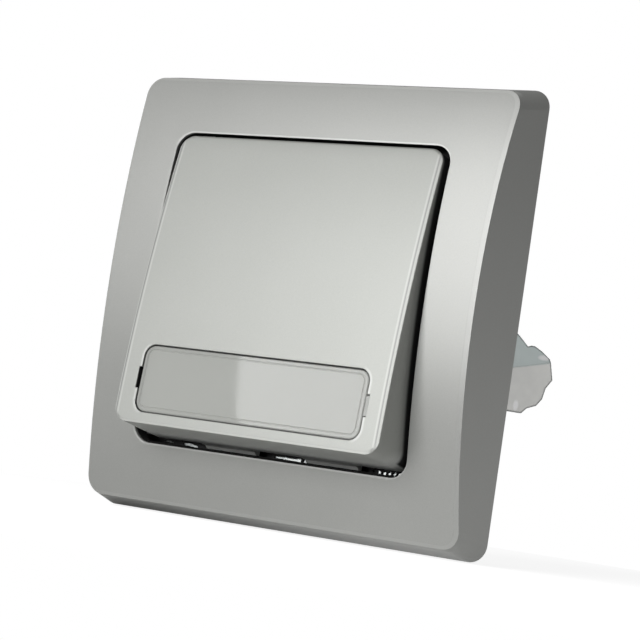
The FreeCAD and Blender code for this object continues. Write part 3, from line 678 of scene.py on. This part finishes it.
@dataclass(frozen=True)
class KeyPaint(SatinPaint):
    """The key's paint: painted shade in creases, the window's recess and the skirt, painted light on the
    underside and fingers.
    """

    window: Window = Window()
    # Painted shade: the darker grey of the creases and the window's recess.
    recess_shade: Colour = (0.20, 0.20, 0.20)
    arris: float = 0.02642
    side_arris: float = 0.0005
    side_depth: Span = (0.0010, 0.0014)
    end_arris: float = 0.0012
    end_depth: Span = (0.0040, 0.0046)
    shallow: Span = (0.0001, 0.0003)
    # The crease is a painted shade line along each side edge, and the glint a painted highlight just inside
    # it.
    crease: Span = (0.00007, 0.0002)
    crease_shade_share: float = 0.6
    painted_glint: Span = (0.00008, 0.00022)
    glint_inset: float = 0.0004
    glint_share: float = 0.25
    # The rim is a painted highlight round the window's ends.
    rim_start: Span = (-0.00002, 0.00008)
    rim_end: Span = (0.0002, 0.0006)
    rim_ends: float = 0.002
    rim_highlight_share: float = 0.4
    sunk_depth: Span = (0.0001, 0.0003)
    sunk_reach: Span = (0.0010, 0.0012)
    notch: Span = (0.00005, 0.00012)
    # Where the frame hides the skirt, it is painted near-black as shade.
    skirt_side: Span = (0.0260, 0.0264)
    skirt_top: Span = (0.0240, 0.0244)
    skirt_hidden: Span = (-0.0006, 0.0006)
    corner_top: Span = (0.0214, 0.0229)
    corner_depth: Span = (0.0004, 0.0008)
    # Painted light: a paler colour on the fingers and the underside, which lie in the key's shade.
    finger_light: Colour = (0.93, 0.94, 0.92)
    finger_y: Span = (-0.0060, -0.0054)
    under: Span = (-0.0250, -0.0232)
    under_y: Span = (-0.0150, -0.0080)
    under_share: float = 0.65

    def _face(self, g: Graph) -> Tuple[NodeSocket, Value]:
        """The direction that the key's face looks in, and 1 by its side edges and its lower edge.

        Args:
            g: The paint's tree.

        Returns:
            The direction and the mask.
        """
        x, up, depth = self.window.face.place(g)
        sides = g.fade(abs(x), self.arris - self.side_arris, self.arris) * g.drop(depth, *self.side_depth)
        end = g.fade(up * -1.0, self.arris - self.end_arris, self.arris) * g.drop(depth, *self.end_depth)
        return self.window.face.front(g, up), sides.most(end)

    def _light_and_shade(self, g: Graph, colour: NodeSocket) -> Tuple[NodeSocket, Value]:
        """The paint with its painted crease lines, its painted light underneath and the window's recess in
        painted shade.

        Args:
            g: The paint's tree.
            colour: The plain paint.

        Returns:
            The colour, and 1 where bare black moulding is painted near-black as shade.
        """
        colour = self._underside_light(g, self._painted_crease(g, colour))
        colour, notch = self._recessed(g, colour)
        return colour, notch.most(self._skirt_shade(g))

    def _painted_crease(self, g: Graph, colour: NodeSocket) -> NodeSocket:
        """A painted shade line along each side edge of the face, with a painted highlight just inside it.

        Args:
            g: The paint's tree.
            colour: The paint so far.

        Returns:
            The colour.
        """
        x, _, depth = self.window.face.place(g)
        shallow = g.drop(depth, *self.shallow)
        crease = g.drop(abs(abs(x) - self.arris), *self.crease)
        painted_glint = g.drop(abs(abs(x) + self.glint_inset - self.arris), *self.painted_glint)
        colour = g.mix(painted_glint * shallow * self.glint_share, colour, self.painted_highlight)
        return g.mix(crease * shallow * self.crease_shade_share, colour, self.recess_shade)

    def _underside_light(self, g: Graph, colour: NodeSocket) -> NodeSocket:
        """Painted light: paler paint on the two fingers, fading in along the underside, where the key's shade
        falls.

        Args:
            g: The paint's tree.
            colour: The paint so far.

        Returns:
            The colour.
        """
        _, y, z = g.axes()
        under = g.drop(z, *self.under) * g.fade(y, *self.under_y) * self.under_share
        return g.mix(g.fade(y, *self.finger_y).most(under), colour, self.finger_light)

    def _recessed(self, g: Graph, colour: NodeSocket) -> Tuple[NodeSocket, Value]:
        """The window's recess, darkened as painted shade, with a painted highlight on the rim at its ends.

        Args:
            g: The paint's tree.
            colour: The paint so far.

        Returns:
            The colour, and 1 in the prying notches, which are painted near-black as shade.
        """
        x, up, depth = self.window.face.place(g)
        outside = self.window.outside(x, up)
        rim = g.fade(outside, *self.rim_start) * g.drop(outside, *self.rim_end)
        ends = g.fade(abs(x), self.window.half_width - self.rim_ends, self.window.half_width)
        sunk = g.fade(depth, *self.sunk_depth) * g.drop(outside, *self.sunk_reach)
        colour = g.mix(rim * ends * (1.0 - sunk) * self.rim_highlight_share, colour, self.painted_highlight)
        return g.mix(sunk, colour, self.recess_shade), sunk * g.fade(outside, *self.notch)

    def _skirt_shade(self, g: Graph) -> Value:
        """1 on the skirt, as far as the frame hides it, where it is painted near-black as shade.

        Args:
            g: The paint's tree.

        Returns:
            The mask.
        """
        x, y, z = g.axes()
        _, _, depth = self.window.face.place(g)
        skirt = g.fade(abs(x), *self.skirt_side).most(g.fade(z, *self.skirt_top))
        corner = g.fade(z, *self.corner_top) * g.fade(depth, *self.corner_depth)
        return skirt.most(corner) * g.fade(self.opening.behind_front(y, z), *self.skirt_hidden)


@dataclass(frozen=True)
class PlatedSteel(Recipe):
    """Zinc-plated sheet or screw steel."""

    dark: Colour
    roughness: float
    metallic: float = 0.95
    blue: Optional[Colour] = None
    blue_within: float = 0.0069
    blue_soft: float = 0.0002
    blue_from: float = 0.0292
    blue_slope: float = 0.39
    blue_ragged: float = 0.0004
    # A band of colour along the sheet's sharp edges: lighter on the plain zinc, and on the claw a dark
    # outline as painted shade.
    edge: Colour = (0.92, 0.92, 0.90)
    edge_share: float = 0.6
    edge_reach: float = 0.00015
    edge_radius: float = 0.00012
    edge_polish: float = 0.08
    # Painted highlights: white spots at given places across X and Z.
    painted_glint: Colour = (1.0, 1.0, 1.0)
    glint_fade: Span = (0.1, 1.2)
    painted_glints: Tuple[Tuple[float, float, float, float], ...] = ()
    patch_scale: float = 260.0
    patch_detail: float = 3.0
    patch_contrast: float = 1.6
    patch_relief: float = 0.6
    grain_stretch: Point = (5000.0, 900.0, 500.0)
    grain_roughness: float = 0.2
    grain_relief: float = 0.4
    relief_strength: float = 0.25
    relief_height: float = 0.00008

    def make(self) -> Material:
        """Patchy bright zinc with rolling marks, a band of colour along the edges, a bluish band near the
        middle and painted highlights where given.

        Returns:
            The material.
        """
        g = Graph.material(self.name)
        patch = g.noise(self.patch_scale, self.patch_detail)
        grain = g.noise(1.0, at=g.stretched(self.grain_stretch))
        edge_band = g.edges(self.edge_reach)
        body = g.mix(patch.spread(self.patch_contrast), self.dark, self.colour)
        if self.blue:
            body = self._blued(g, body, patch)
        relief = patch * self.patch_relief + grain * self.grain_relief
        edges = g.rounded(self.edge_radius)
        return g.surface(
            Base_Color=g.mix(edge_band * self.edge_share, body, self.edge),
            Metallic=self.metallic,
            Roughness=self.roughness + (grain - 0.5) * self.grain_roughness - edge_band * self.edge_polish,
            Normal=g.bump(relief, self.relief_strength, self.relief_height, edges),
        )

    def _blued(self, g: Graph, body: NodeSocket, patch: Value) -> NodeSocket:
        """The bluish band with its ragged edge, and the painted highlights at given spots.

        Args:
            g: The tree.
            body: The plain zinc.
            patch: The patches, which make the edge ragged.

        Returns:
            The colour.
        """
        x, _, z = g.axes()
        ragged = (patch - 0.5) * self.blue_ragged
        height = abs(z) + (abs(x) - self.blue_from) * self.blue_slope + ragged
        outer = g.fade(height, self.blue_within - self.blue_soft, self.blue_within + self.blue_soft)
        body = g.mix(outer, self.blue, body)
        for across, up, wide, high in self.painted_glints:
            off = ((abs(x) - across) * (1 / wide)) ** 2 + ((abs(z) - up) * (1 / high)) ** 2
            body = g.mix(g.drop(off, *self.glint_fade), body, self.painted_glint)
        return body


@dataclass(frozen=True)
class GrainedSurface(Recipe):
    """A tone that varies between two colours, and a fine grain in the roughness and the relief."""

    dark: Colour
    roughness: float
    metallic: float = 0.0
    edge: float = 0.0
    tone_scale: float = 140.0
    tone_detail: float = 3.0
    tone_contrast: float = 1.0
    grain_scale: float = 3500.0
    grain_detail: float = 2.0
    grain_stretch: Optional[Point] = None
    grain_roughness: float = 0.12
    grain_strength: float = 0.2
    grain_height: float = 0.00003

    def make(self) -> Material:
        """Tone, grain and, where the edge has a radius, softened edges.

        Returns:
            The material.
        """
        g = Graph.material(self.name)
        tone = g.noise(self.tone_scale, self.tone_detail).spread(self.tone_contrast)
        at = g.stretched(self.grain_stretch) if self.grain_stretch else None
        grain = g.noise(self.grain_scale, self.grain_detail, at)
        softened = g.rounded(self.edge) if self.edge else None
        return g.surface(
            Base_Color=g.mix(tone, self.dark, self.colour),
            Metallic=self.metallic,
            Roughness=self.roughness + (grain - 0.5) * self.grain_roughness,
            Normal=g.bump(grain, self.grain_strength, self.grain_height, softened),
        )


@dataclass(frozen=True)
class Moulding(GrainedSurface):
    """Plain moulded plastic with a light mottle and a fine spark-eroded grain."""

    edge: float = 0.00025


@dataclass(frozen=True)
class BareMetal(GrainedSurface):
    """Brass, silver or spring steel with light tarnish and fine drawn lines."""

    metallic: float = 1.0
    tone_scale: float = 420.0
    tone_contrast: float = 1.4
    grain_scale: float = 1.0
    grain_stretch: Optional[Point] = (600.0, 6000.0, 600.0)
    grain_roughness: float = 0.15
    grain_strength: float = 0.12


@dataclass(frozen=True)
class CardStock(GrainedSurface):
    """Blank pale card, with paper fibre in its colour and relief."""

    tone_scale: float = 2400.0
    tone_detail: float = 4.0
    grain_scale: float = 2400.0
    grain_detail: float = 4.0
    grain_roughness: float = 0.1
    grain_strength: float = 0.3
    grain_height: float = 0.00004


@dataclass(frozen=True)
class ClearCover(Recipe):
    """Clear hard plastic with a light haze."""

    alpha: float
    roughness: float
    refraction: float = 1.56
    haze_scale: float = 90.0
    haze_gain: float = 1.03
    haze_roughness: float = 0.02

    def make(self) -> Material:
        """Glossy thin cover that lets the card show through.

        Returns:
            The material.
        """
        g = Graph.material(self.name)
        haze = g.noise(self.haze_scale)
        hazy = tuple(min(1.0, part * self.haze_gain) for part in self.colour)
        return g.surface(
            Base_Color=g.mix(haze, self.colour, hazy),
            Roughness=self.roughness + (haze - 0.5) * self.haze_roughness,
            IOR=self.refraction,
            Alpha=self.alpha,
        )


class Finish(Enum):
    """Every finish on the bell push."""

    FRAME = FramePaint("satin_silver_frame", (0.435, 0.439, 0.423), (0.373, 0.378, 0.362), 0.30, 0.33)
    KEY = KeyPaint("satin_silver_key", (0.46, 0.469, 0.446), (0.40, 0.41, 0.386), 0.28, 0.36)
    ZINC = PlatedSteel("bright_zinc", (0.74, 0.76, 0.74), (0.46, 0.50, 0.51), 0.30)
    CLAW = PlatedSteel(
        "claw_zinc", (0.86, 0.86, 0.83), (0.73, 0.73, 0.71), 0.34, 0.45, (0.67, 0.74, 0.73),
        # The claw's dark edge is a painted shade outline along the sheet's edges.
        edge=(0.03, 0.035, 0.035), edge_share=1.0, edge_reach=0.0006,
        painted_glints=((0.0353, 0.0032, 0.0009, 0.0006), (0.0330, 0.0123, 0.00035, 0.0011)),
    )
    BASE = Moulding("grey_moulding", (0.36, 0.37, 0.37), (0.31, 0.32, 0.32), 0.55)
    # Black moulding; the comb behind the frame's lips wears it as painted shade.
    PLATE = Moulding("black_moulding_and_shade", (0.016, 0.016, 0.017), (0.010, 0.010, 0.011), 0.50)
    TOGGLE = Moulding("ivory_moulding", (0.74, 0.73, 0.69), (0.69, 0.68, 0.64), 0.45)
    BRASS = BareMetal("stamped_brass", (0.78, 0.58, 0.27), (0.55, 0.38, 0.17), 0.30)
    SILVER = BareMetal("silver_tip", (0.86, 0.85, 0.82), (0.62, 0.61, 0.59), 0.25)
    SPRING = BareMetal("spring_wire", (0.62, 0.62, 0.62), (0.40, 0.40, 0.40), 0.25)
    CARD = CardStock("blank_card", (0.80, 0.81, 0.78), (0.75, 0.76, 0.73), 0.75)
    LENS = ClearCover("clear_cover", (0.605, 0.615, 0.585), 0.62, 0.03)

    @lru_cache(maxsize=None)
    def material(self) -> Material:
        """The finish's material, made the first time that a piece needs it."""
        return self.value.make()


def add_object(name: str, data: ID) -> Object:
    """Add one object to the scene.

    Args:
        name: The object's name.
        data: Its mesh, lamp or camera.

    Returns:
        The object.
    """
    added = bpy.data.objects.new(name, data)
    bpy.context.scene.collection.objects.link(added)
    return added


def dress(node: str, finish: Finish) -> None:
    """Give one solid of the model its finish.

    Args:
        node: The solid's name.
        finish: The finish.
    """
    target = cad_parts[node]
    target.data.materials.clear()
    target.data.materials.append(finish.material())
    log.info("dressed %s in %s", node, finish.value.name)


def metres(points: Iterable[Vector]) -> List[Point]:
    """Points in millimetres as points in metres."""
    return [tuple(point * MM) for point in points]


@dataclass
class Piece:
    """One new piece on a body, carrying the name of one of the record's material slots, with its points in
    metres.
    """

    name: str
    body: str
    slot: str
    points: List[Point] = field(default_factory=list)
    faces: List[Tuple[int, ...]] = field(default_factory=list)

    def _row(self, points: Iterable[Point]) -> List[int]:
        """Add points.

        Args:
            points: The points.

        Returns:
            Their numbers.
        """
        start = len(self.points)
        self.points.extend(points)
        return list(range(start, len(self.points)))

    def _bridge(self, first: List[int], second: List[int]) -> None:
        """Join two closed rows of the same length with four-sided faces."""
        for i in range(len(first)):
            self.faces.append((first[i - 1], first[i], second[i], second[i - 1]))

    def loft(self, outlines: Iterable[Iterable[Point]], capped: bool = True) -> List[List[int]]:
        """Join closed outlines into one skin.

        Args:
            outlines: The outlines in order, each with as many points.
            capped: Whether each end gets one flat face.

        Returns:
            The numbers of each outline's points.
        """
        rows = [self._row(outline) for outline in outlines]
        for low, high in zip(rows, rows[1:]):
            self._bridge(low, high)
        if capped:
            self.faces += [tuple(rows[0]), tuple(reversed(rows[-1]))]
        return rows

    def make(self, finish: Finish) -> Object:
        """Build the piece and let it ride on its body.

        Args:
            finish: Its finish.

        Returns:
            The piece.
        """
        mesh = bpy.data.meshes.new(self.name)
        mesh.from_pydata(self.points, [], self.faces)
        shell = bmesh.new()
        shell.from_mesh(mesh)
        bmesh.ops.recalc_face_normals(shell, faces=shell.faces)
        shell.to_mesh(mesh)
        shell.free()
        mesh.materials.append(finish.material())
        piece = add_object(self.name, mesh)
        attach(piece, self.body)
        log.info("built %s with %d faces", self.name, len(self.faces))
        return piece


@dataclass
class CoverFrame:
    """The square frame on the wall, with a black comb behind its lower lip and a black strip behind its upper
    one, dark sheets as painted shade in the gaps.

    The sizes are in millimetres. Each slot of the comb is a row of (X, lower Z, upper Z).
    """

    finish: Finish = Finish.FRAME
    comb_foot: float = -28.1
    comb_top: float = -26.5
    comb_front: float = -1.3
    comb_back: float = -1.02
    comb_ends: Tuple[float, float] = (-33.0, 26.0)
    strip_end: float = 26.0
    strip_foot: float = 26.5
    strip_top: float = 29.0
    slots: Tuple[Tuple[Point, ...], ...] = (
        ((-26.9, -27.30, -27.15), (-26.0, -27.45, -27.10), (-25.0, -27.50, -27.35)),
        ((-22.9, -27.50, -27.20), (-21.2, -27.60, -27.10), (-19.6, -27.75, -27.50)),
        ((-16.2, -27.85, -26.50), (-4.8, -27.85, -26.50)),
        ((-3.2, -27.45, -27.25), (-1.5, -27.50, -27.15), (0.5, -27.55, -27.20), (2.4, -27.60, -27.05)),
        ((2.8, -27.55, -27.20), (3.6, -27.60, -27.15), (4.5, -27.50, -27.25)),
        ((4.8, -27.85, -26.50), (16.2, -27.85, -26.50)),
        ((17.0, -27.50, -27.15), (17.8, -27.70, -26.95), (18.6, -27.55, -27.20)),
        ((18.9, -27.70, -27.30), (19.6, -27.65, -27.05)),
        ((19.9, -27.80, -27.35), (20.6, -27.50, -26.75)),
        ((20.9, -27.85, -27.40), (21.6, -27.40, -26.70)),
        ((21.8, -27.75, -27.25), (23.2, -26.90, -26.50)),
    )

    def build(self) -> None:
        """Dress the frame and add the comb with its strip, black sheets as painted shade in the gaps."""
        dress("cover_frame", self.finish)
        # Painted shade: black bars fill the gap under the key, and their slots let the ring show between
        # them.
        comb = Piece("shade_comb", "housing", "dark_plastic")
        edge = self.comb_ends[0]
        foot = self.comb_foot
        top = self.comb_top
        for slot in self.slots:
            self._bar(comb, (edge, foot, top), (slot[0][0], foot, top))
            for (x0, low0, high0), (x1, low1, high1) in zip(slot, slot[1:]):
                self._bar(comb, (x0, foot, low0), (x1, foot, low1))
                if high0 < top:
                    self._bar(comb, (x0, high0, top), (x1, high1, top))
            edge = slot[-1][0]
        self._bar(comb, (edge, foot, top), (self.comb_ends[1], foot, top))
        strip = (self.strip_foot, self.strip_top)
        self._bar(comb, (-self.strip_end, *strip), (self.strip_end, *strip))
        comb.make(Finish.PLATE)

    def _bar(self, comb: Piece, left: Point, right: Point) -> None:
        """Add one upright bar of the comb.

        Args:
            comb: The piece.
            left: X, the lower Z and the upper Z of its left side.
            right: The same of its right side.
        """
        x0, low0, high0 = left
        x1, low1, high1 = right
        outline = ((x0, low0), (x1, low1), (x1, high1), (x0, high0))
        depths = (self.comb_front, self.comb_back)
        comb.loft([[(x * MM, y * MM, z * MM) for x, z in outline] for y in depths])


@dataclass
class PushKey:
    """The rocking key with its name window; the cover's profile and lug are in millimetres."""

    finish: Finish = Finish.KEY
    window: Window = Window()
    cover_profile: Tuple[Tuple[float, float], ...] = (
        (0.25, 1.05), (0.25, 0.20), (0.40, 0.06), (0.82, 0.05), (0.94, 0.17), (1.02, 0.17), (1.14, 0.05),
    )
    lug_half_height: float = 1.7
    lug_depths: Tuple[float, float] = (0.3, 0.95)
    lug_reach: Tuple[float, float] = (0.3, 0.42)

    def build(self) -> None:
        """Dress the key and its card, and model the clear cover."""
        dress("push_key", self.finish)
        dress("name_card", Finish.CARD)
        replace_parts(self._cover(), "name_lens")

    def _cover(self) -> Object:
        """The clear cover, with a bevelled edge, a moulded groove inside it and a lug in the right notch.

        Returns:
            The cover.
        """
        cover = Piece("name_cover", "name_window", "clear_lens")
        profile = [self.window.outline(inset * MM, depth * MM) for inset, depth in self.cover_profile]
        rows = cover.loft(profile, capped=False)
        for row in (rows[0], rows[-1]):
            for i in range(len(row) // 2 - 1):
                cover.faces.append((row[i], row[i + 1], row[-2 - i], row[-1 - i]))
        edge = self.window.across + self.window.half_width
        sides = [edge - self.lug_reach[0] * MM, edge + self.lug_reach[1] * MM]
        ends = []
        for up in (-self.lug_half_height, self.lug_half_height):
            near, deep = [
                [self.window.face.point(x, self.window.up + up * MM, depth * MM) for x in sides]
                for depth in self.lug_depths
            ]
            ends.append([near[0], near[1], deep[1], deep[0]])
        cover.loft(ends)
        return cover.make(Finish.LENS)


@dataclass(frozen=True)
class Thread:
    """A screw's right-hand thread, as a ridge wound round its shank, in millimetres."""

    start: Point
    axis: Point
    radius: float
    length: float
    pitch: float
    ridge: float = 0.15
    sunk: float = 0.04
    flank_share: float = 0.42
    steps: int = 14

    def build(self, name: str, body: str) -> None:
        """Build the ridge.

        Args:
            name: The piece's name.
            body: The screw's body.
        """
        ridge = Piece(name, body, "zinc_steel")
        axis = Vector(self.axis)
        side = axis.orthogonal().normalized()
        half = self.pitch * self.flank_share
        profile = ((-half, -self.sunk), (0.0, self.ridge), (half, -self.sunk))
        sections = []
        for k in range(int((self.length / self.pitch) * self.steps) + 1):
            out = Matrix.Rotation(math.tau * k / self.steps, 3, axis) @ side
            middle = Vector(self.start) + axis * (self.pitch * k / self.steps)
            section = [middle + axis * along + out * (self.radius + high) for along, high in profile]
            sections.append(metres(section))
        ridge.loft(sections)
        ridge.make(Finish.ZINC)


@dataclass(frozen=True)
class CoilSpring:
    """The return spring in round wire with closed ends, between the toggle and the base, in millimetres."""

    front: Point = (0.0, 1.61, -7.5)
    back: float = 11.91
    coil_radius: float = 2.5
    wire_radius: float = 0.3
    turns: int = 4
    closed_pitch: float = 0.62
    steps: int = 20
    wire_sides: int = 8
    squashed: float = 0.918
    lean: float = 0.36

    def rise(self, turn: float) -> float:
        """How far back the wire has come.

        Args:
            turn: Turns from the front end; the first and the last lie closed.

        Returns:
            The depth of the wire's middle behind the front end.
        """
        pitch = (self.back - self.front[1] - 2.0 * (self.wire_radius + self.closed_pitch)) / self.turns
        closed = min(turn, 1.0) + max(turn - 1.0 - self.turns, 0.0)
        return self.wire_radius + self.closed_pitch * closed + pitch * min(max(turn - 1.0, 0.0), self.turns)

    def build(self) -> None:
        """Wind the spring and put it in place of the model's return spring, on a mesh of its own."""
        coil = Piece("coil_spring", "housing", "spring_steel")
        axis = Vector((0.0, 1.0, 0.0))
        sections = []
        for k in range((self.turns + 2) * self.steps + 1):
            turn = k / self.steps
            out = Vector((math.cos(math.tau * turn), 0.0, math.sin(math.tau * turn)))
            middle = Vector(self.front) + axis * self.rise(turn) + out * self.coil_radius
            section = []
            for side in range(self.wire_sides):
                around = math.tau * side / self.wire_sides
                section.append(middle + (out * math.cos(around) + axis * math.sin(around)) * self.wire_radius)
            sections.append(metres(section))
        coil.loft(sections)
        spring = coil.make(Finish.SPRING)
        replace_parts(spring, "return_spring")
        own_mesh(spring)


@dataclass
class SwitchInsert:
    """The insert behind the key."""

    claw_thread: Thread = Thread((27.3, 3.5, -7.0), (0.0, 1.0, 0.0), 1.7, 10.4, 0.7)
    terminal_thread: Thread = Thread((10.0, 14.5, -19.6), (0.0, 0.0, 1.0), 1.45, 4.2, 0.6)
    spring: CoilSpring = CoilSpring()
    finishes: Tuple[Tuple[str, Finish], ...] = (
        ("support_ring", Finish.ZINC),
        ("switch_base", Finish.BASE),
        # The bearing cover's black is its own colour and also stands in for shade behind the ring's windows.
        ("bearing_cover", Finish.PLATE),
        ("toggle", Finish.TOGGLE),
        ("cover_rivets", Finish.BRASS),
        ("contact_bridge", Finish.BRASS),
        ("bridge_contact_tips", Finish.SILVER),
        ("fixed_contact_tips", Finish.SILVER),
        ("claw_pins", Finish.ZINC),
    )
    side_finishes: Tuple[Tuple[str, Finish], ...] = (
        ("fixed_contact", Finish.BRASS),
        ("terminal_clamp", Finish.ZINC),
        ("terminal_screw", Finish.ZINC),
        ("claw_screw", Finish.ZINC),
        ("claw", Finish.CLAW),
    )

    def build(self) -> None:
        """Dress the ring, the mouldings and the contacts, wind the spring and cut the screws' threads."""
        for node, finish in self.finishes:
            dress(node, finish)
        self.spring.build()
        for side in Side:
            for node, finish in self.side_finishes:
                dress(f"{node}_{side.value}", finish)
            self._threads(side)

    def _threads(self, side: Side) -> None:
        """Thread the claw screw and the terminal screw of one side.

        Args:
            side: The side; the left claw is the right one turned half round.
        """
        sign = 1.0 if side is Side.RIGHT else -1.0
        x, y, z = self.claw_thread.start
        claw = replace(self.claw_thread, start=(sign * x, y, sign * z))
        claw.build(f"claw_thread_{side.value}", f"claw_screw_{side.value}")
        x, y, z = self.terminal_thread.start
        terminal = replace(self.terminal_thread, start=(sign * x, y, z))
        terminal.build(f"terminal_thread_{side.value}", f"terminal_screw_{side.value}")


@dataclass(frozen=True)
class Lamp:
    """One soft rectangular lamp, aimed at the object.

    It hangs at a distance in metres, turned and raised from straight in front and rolled, all in degrees.
    """

    name: str = "front_window"
    distance: float = 0.80
    turn: float = -12.0
    rise: float = 16.0
    roll: float = 3.2
    size: Tuple[float, float] = (0.648, 0.54)
    watts: float = 4.96

    def build(self) -> None:
        """Hang the lamp."""
        data = bpy.data.lights.new(self.name, "AREA")
        data.shape = "RECTANGLE"
        data.size, data.size_y = self.size
        data.energy = self.watts
        lamp = add_object(self.name, data)
        around = math.radians(self.turn)
        up = math.radians(self.rise)
        flat = self.distance * math.cos(up)
        place = Vector((flat * math.sin(around), -flat * math.cos(around), self.distance * math.sin(up)))
        lamp.location = place
        aim = (-place).to_track_quat("-Z", "Y").to_matrix()
        lamp.rotation_euler = (aim @ Matrix.Rotation(math.radians(self.roll), 3, "Z")).to_euler()


@dataclass(frozen=True)
class Viewpoint:
    """The photograph's viewpoint: where it is, its right and up directions, and its lens."""

    place: Point = (0.20558, -0.32710, -0.02968)
    right: Point = (0.84433, 0.51532, 0.14679)
    up: Point = (-0.08781, -0.13718, 0.98665)
    focal_mm: float = 123.65
    sensor_mm: float = 36.0
    clip_start: float = 0.01

    def build(self) -> None:
        """Set up the camera."""
        data = bpy.data.cameras.new("camera")
        data.sensor_width = self.sensor_mm
        data.lens = self.focal_mm
        data.clip_start = self.clip_start
        camera = add_object("camera", data)
        right = Vector(self.right).normalized()
        up = (Vector(self.up) - right * Vector(self.up).dot(right)).normalized()
        back = right.cross(up)
        turn = Matrix((right, up, back)).transposed().to_4x4()
        camera.matrix_world = Matrix.Translation(Vector(self.place)) @ turn
        bpy.context.scene.camera = camera


@dataclass(frozen=True)
class Studio:
    """Pale floor, white surroundings, one wide soft lamp and the camera.

    The floor's fades are in metres. Those of the surroundings are parts of the direction towards them.
    """

    lamp: Lamp = Lamp()
    viewpoint: Viewpoint = Viewpoint()
    floor_size: float = 0.3
    floor_gap: float = 0.0002
    floor_white: float = 0.86
    floor_share: float = 0.45
    floor_glow: float = 1.85
    gloss_share: float = 0.6
    gloss_x: Span = (-0.045, 0.045)
    behind_x: Span = (0.03, 0.08)
    behind_y: Span = (-0.03, 0.03)
    room_grey: float = 0.19
    dark_x: Span = (-0.1, 0.5)
    dark_z: Span = (-0.05, 0.18)
    ceiling_z: Span = (0.15, 0.45)
    back_y: Span = (-0.3, 0.3)
    screen_x: Span = (0.2, 0.5)
    screen_start: Span = (-0.75, -0.55)
    screen_end: Span = (-0.05, 0.15)

    def build(self) -> None:
        """Set up everything round the object."""
        self._floor()
        self._world()
        self.lamp.build()
        self.viewpoint.build()
        bpy.context.scene.view_settings.view_transform = "Standard"

    def _floor(self) -> None:
        """A white floor level with the frame's lower edge, which keeps the shadow."""
        g = Graph.material("studio_floor")
        x, y, _ = g.axes()
        behind = g.fade(x, *self.behind_x) * g.fade(y, *self.behind_y)
        share = (g.fade(x, *self.gloss_x) * self.gloss_share).most(behind)
        paint = g.node("ShaderNodeBsdfDiffuse", {}, {"Color": grey(self.floor_white)})["BSDF"]
        glow = g.node("ShaderNodeEmission", {}, {"Color": grey(1.0), "Strength": self.floor_glow})["Emission"]
        g.show_mixed(g.seen(share) * self.floor_share, paint, glow)
        mesh = bpy.data.meshes.new("floor")
        half = self.floor_size / 2
        level = cad_low.z - self.floor_gap
        corners = [(-half, -half, level), (half, -half, level), (half, half, level), (-half, half, level)]
        mesh.from_pydata(corners, [], [(0, 1, 2, 3)])
        floor = add_object("floor", mesh)
        mesh.materials.append(g.owner)

    def _world(self) -> None:
        """White behind the object and a white screen at its right, in a grey room darker behind the right."""
        world = bpy.data.worlds.new("studio")
        bpy.context.scene.world = world
        g = Graph(world, "ShaderNodeOutputWorld")
        x, y, z = g.axes(g.node("ShaderNodeTexCoord")["Generated"])
        dark = (g.fade(x, *self.dark_x) * g.fade(z, *self.dark_z)).most(g.fade(z, *self.ceiling_z))
        back = g.fade(y, *self.back_y) * (1.0 - dark)
        screen = g.fade(x, *self.screen_x) * g.fade(y, *self.screen_start) * g.drop(y, *self.screen_end)
        room, white = [
            g.node("ShaderNodeBackground", {}, {"Color": grey(level), "Strength": 1.0})["Background"]
            for level in (self.room_grey, 1.0)
        ]
        g.show_mixed(g.seen(back.most(screen)), room, white)


def main() -> None:
    """Dress the bell push and set up the studio."""
    logging.basicConfig(level=logging.INFO)
    CoverFrame().build()
    PushKey().build()
    SwitchInsert().build()
    Studio().build()


if __name__ == "__main__":
    main()
